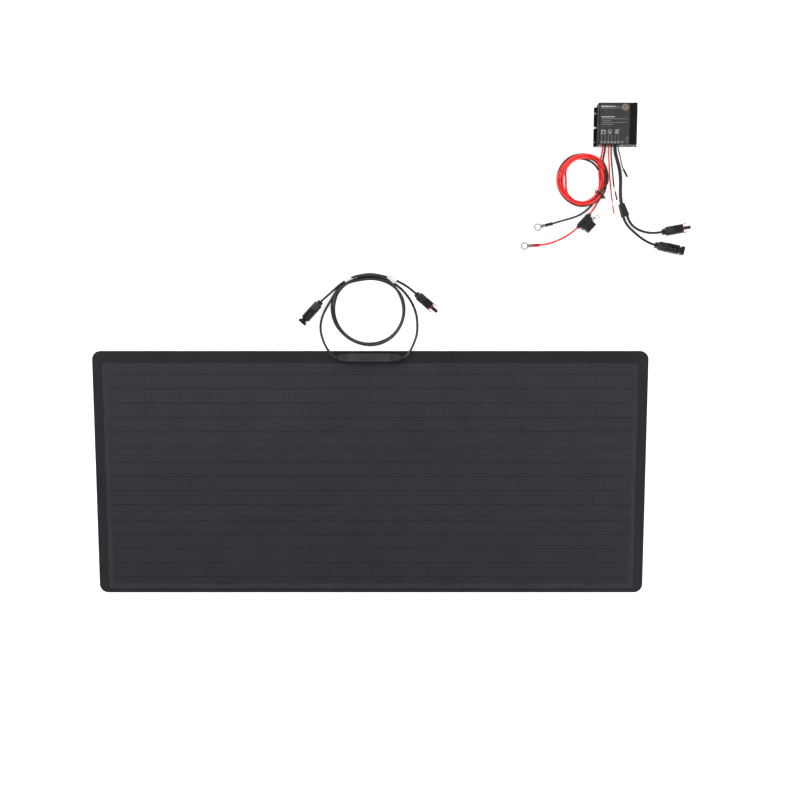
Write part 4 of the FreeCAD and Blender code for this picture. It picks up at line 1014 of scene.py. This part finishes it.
def ink_ring(x, y, inner, outer):
    centre = (LABEL_AT[0] + x, LABEL_AT[1] - y)
    return washer(centre, inner, outer, LABEL_TOP - INK_T / 2, LABEL_TOP + INK_T)


def text_line(x0, x1, y, height, pattern):
    """A line of blank blocks of varied width, in place of words."""
    shells = []
    x = x0
    step = 0
    while x < x1:
        width = min(pattern[step % len(pattern)], x1 - x)
        shells.append(bar(x, x + width, y, height))
        x += width + 0.55 * height
        step += 1
    return shells


# The seven strokes of a digit, as (x, y, is upright), and the strokes that each digit uses
STROKES = {
    "a": (0, -1, False),
    "b": (1, -0.5, True),
    "c": (1, 0.5, True),
    "d": (0, 1, False),
    "e": (-1, 0.5, True),
    "f": (-1, -0.5, True),
    "g": (0, 0, False),
}
DIGITS = ("bc", "abged", "abgcd", "fgbc", "afgcd", "afgedc", "abc")


def numbered_circle(x, digit):
    """A ring with a small stroke digit in it, for each wire's exit."""
    shells = [ink_ring(x, CIRCLES_Y, 1.75, 2.15)]
    for stroke in DIGITS[digit - 1]:
        across, down, upright = STROKES[stroke]
        at = (x + 0.45 * across, CIRCLES_Y + 0.9 * down)
        if upright:
            shells.append(post(at[0], at[1] - 0.4, at[1] + 0.4, 0.26))
        else:
            shells.append(bar(at[0] - 0.4, at[0] + 0.4, at[1], 0.26))
    return shells


def battery_mark():
    shells = [bar(3.2, 12.3, 60.4, 0.6), bar(3.2, 12.3, 54.7, 0.6)]
    shells += [post(3.5, 55.0, 60.1, 0.6), post(12.0, 55.0, 60.1, 0.6)]
    shells += [bar(4.4, 6.4, 53.7, 1.4), bar(9.1, 11.1, 53.7, 1.4)]
    shells += [bar(4.8, 6.4, 57.4, 0.5), bar(9.2, 10.8, 57.4, 0.5), post(10.0, 56.6, 57.1, 0.5)]
    shells.append(post(10.0, 57.7, 58.2, 0.5))
    return shells


def lamp_mark():
    shells = [ink_ring(20.8, 55.4, 3.1, 3.7)]
    shells += [bar(19.3, 22.3, 59.7, 0.6), bar(19.6, 22.0, 60.7, 0.5), post(20.8, 54.4, 58.6, 0.4)]
    return shells


def panel_mark():
    """A leaning grid of three by four panes."""
    shells = []
    for row in range(4):
        for column in range(3):
            y0 = 51.6 + 2.4 * row
            x0 = 31.9 - 0.45 * row + 2.55 * column
            pane = [(x0, y0), (x0 + 2.25, y0), (x0 + 1.85, y0 + 2.1), (x0 - 0.4, y0 + 2.1)]
            shells.append(ink(pane))
    return shells


def make_label_print():
    """Everything printed on the label, without words: blank blocks, marks and numbers."""
    white = text_line(2.6, 30.8, 6.9, 2.5, (2.6, 2.3, 2.4, 2.5))
    white += text_line(3.2, 29.4, 27.2, 1.5, (3.8, 1.9, 4.6, 2.7))
    for digit, x in enumerate(CIRCLES_X, 1):
        white += numbered_circle(x, digit)
    white += battery_mark() + lamp_mark()
    solid_piece("label_print", white, "print", KIT)
    dim = text_line(31.9, 42.1, 7.4, 1.3, (2.2, 1.2, 1.7)) + text_line(2.6, 42.1, 10.4, 0.7, (3.4, 2.0, 1.2))
    for x0, x1, y in ((3.8, 55.3, 31.1), (4.6, 23.8, 34.9), (3.8, 53.6, 38.4), (4.6, 28.3, 42.0)):
        dim += text_line(x0, x1, y, 0.95, (2.9, 1.4, 3.6, 2.1, 1.0))
    for x in WIRES_X:
        dim.append(post(x, 62.3, 72.9, 0.45))
    for row in range(3):
        y = 69.0 + 3.6 * row
        dim += [ink_ring(54.4, y, 0.5, 0.9), bar(56.2, 59.2, y, 0.5)]
    dim.append(bar(53.2, 59.6, 66.9, 0.4))
    dim += panel_mark()
    solid_piece("label_print_dim", dim, "print_dim", KIT)
    gold = [ink_ring(*BADGE_AT, 6.1, 7.0), ink_ring(*BADGE_AT, 2.0, 3.6)]
    solid_piece("badge_gold", gold, "gold", KIT)
    silver = [ink_ring(*BADGE_AT, 4.2, 5.9), ink(circle(BADGE_AT, 1.5))]
    solid_piece("badge_silver", silver, "silver", KIT)


make_film()
tape_labels, tie_pieces = make_wraps()
make_sleeves()
make_label_print()
strap, strap_path = strap_piece()
red_end = load_end("red", LOAD_RED_END)
black_end = load_end("black", LOAD_BLACK_END)
lead_a, lead_b = make_panel_leads()
battery_red, battery_black, fuse_tail = make_battery_leads()
load_red = cord_curve("load_red", LOAD_RED, LOAD_D, "wire_red", KIT, "load_wire_red", "load_cores")
load_black = cord_curve("load_black", LOAD_BLACK, LOAD_D, "wire_black", KIT, "load_wire_black")
pv_main = cord_curve("pv_main", PV_CABLE, PV_CABLE_D, "cable_black", KIT, "pv_cable")
pv_upper = cord_curve("pv_upper", PV_LEAD_UPPER, LEAD_D, "cable_black", KIT, "pv_lead_upper")
pv_lower = cord_curve("pv_lower", PV_LEAD_LOWER, LEAD_D, "cable_black", KIT, "pv_lead_lower")
sensor = cord_curve("sensor_lead", SENSOR_CABLE, SENSOR_D, "sensor_black", KIT, "sensor_cable")


# ---------------------------------------------------------------- stage


def make_stage():
    """A pale floor, a soft surround and two large lamps."""
    bpy.ops.mesh.primitive_plane_add(size=60, location=(0, 0, -0.0002))
    floor = bpy.context.object
    floor.name = "floor"
    look = Look("floor_white")
    look.colour(look.ramp(look.noise(3.0), (0.3, srgb(246, 246, 246)), (0.7, srgb(250, 250, 250))))
    look.roughness(look.span(look.noise(8.0), 0.85, 0.95))
    look.set(Specular_IOR_Level=0.1, Emission_Strength=0.6)
    floor.data.materials.append(look.material)

    world = bpy.data.worlds.new("surround")
    bpy.context.scene.world = world
    world.use_nodes = True
    nodes = world.node_tree.nodes
    links = world.node_tree.links
    coords = nodes.new("ShaderNodeTexCoord")
    split = nodes.new("ShaderNodeSeparateXYZ")
    fade = nodes.new("ShaderNodeValToRGB")
    stops = ((0.0, 1.0), (0.5, 1.0), (0.78, 0.45), (0.92, 0.07), (1.0, 0.04))
    while len(fade.color_ramp.elements) < len(stops):
        fade.color_ramp.elements.new(0.5)
    for element, (position, level) in zip(fade.color_ramp.elements, stops):
        element.position = position
        element.color = (level, level, level, 1)
    links.new(coords.outputs["Generated"], split.inputs["Vector"])
    links.new(split.outputs["Z"], fade.inputs["Fac"])
    links.new(fade.outputs["Color"], nodes["Background"].inputs["Color"])
    nodes["Background"].inputs["Strength"].default_value = 1.3

    for name, spot, size, power in (
        ("key", (-1.6, 1.9, 2.2), 1.4, 42.0),
        ("fill", (2.2, -0.6, 2.6), 2.0, 18.0),
    ):
        data = bpy.data.lights.new(name, "AREA")
        data.size = size
        data.energy = power
        lamp = bpy.data.objects.new(name, data)
        lamp.location = spot
        aim = Vector((0.1, 0.2, 0.0)) - Vector(spot)
        lamp.rotation_euler = aim.to_track_quat("-Z", "Y").to_euler()
        bpy.context.scene.collection.objects.link(lamp)
    bpy.context.scene.view_settings.view_transform = "Standard"


make_stage()


# ---------------------------------------------------------------- each cord's length


def declare(cord, path=None):
    """Works out a cord's length, along the given path or its own line; the result is not kept."""
    sum(math.dist(p, q) for p, q in zip(path, path[1:])) if path else length_of(cord)


declare(
    lead_a,
)
declare(
    lead_b,
)
declare(
    battery_red,
)
declare(
    battery_black,
)
declare(
    fuse_tail,
)
declare(load_red)
declare(load_black)
declare(strap, strap_path)
declare(pv_main)
declare(
    pv_upper,
)
declare(
    pv_lower,
)
declare(sensor)
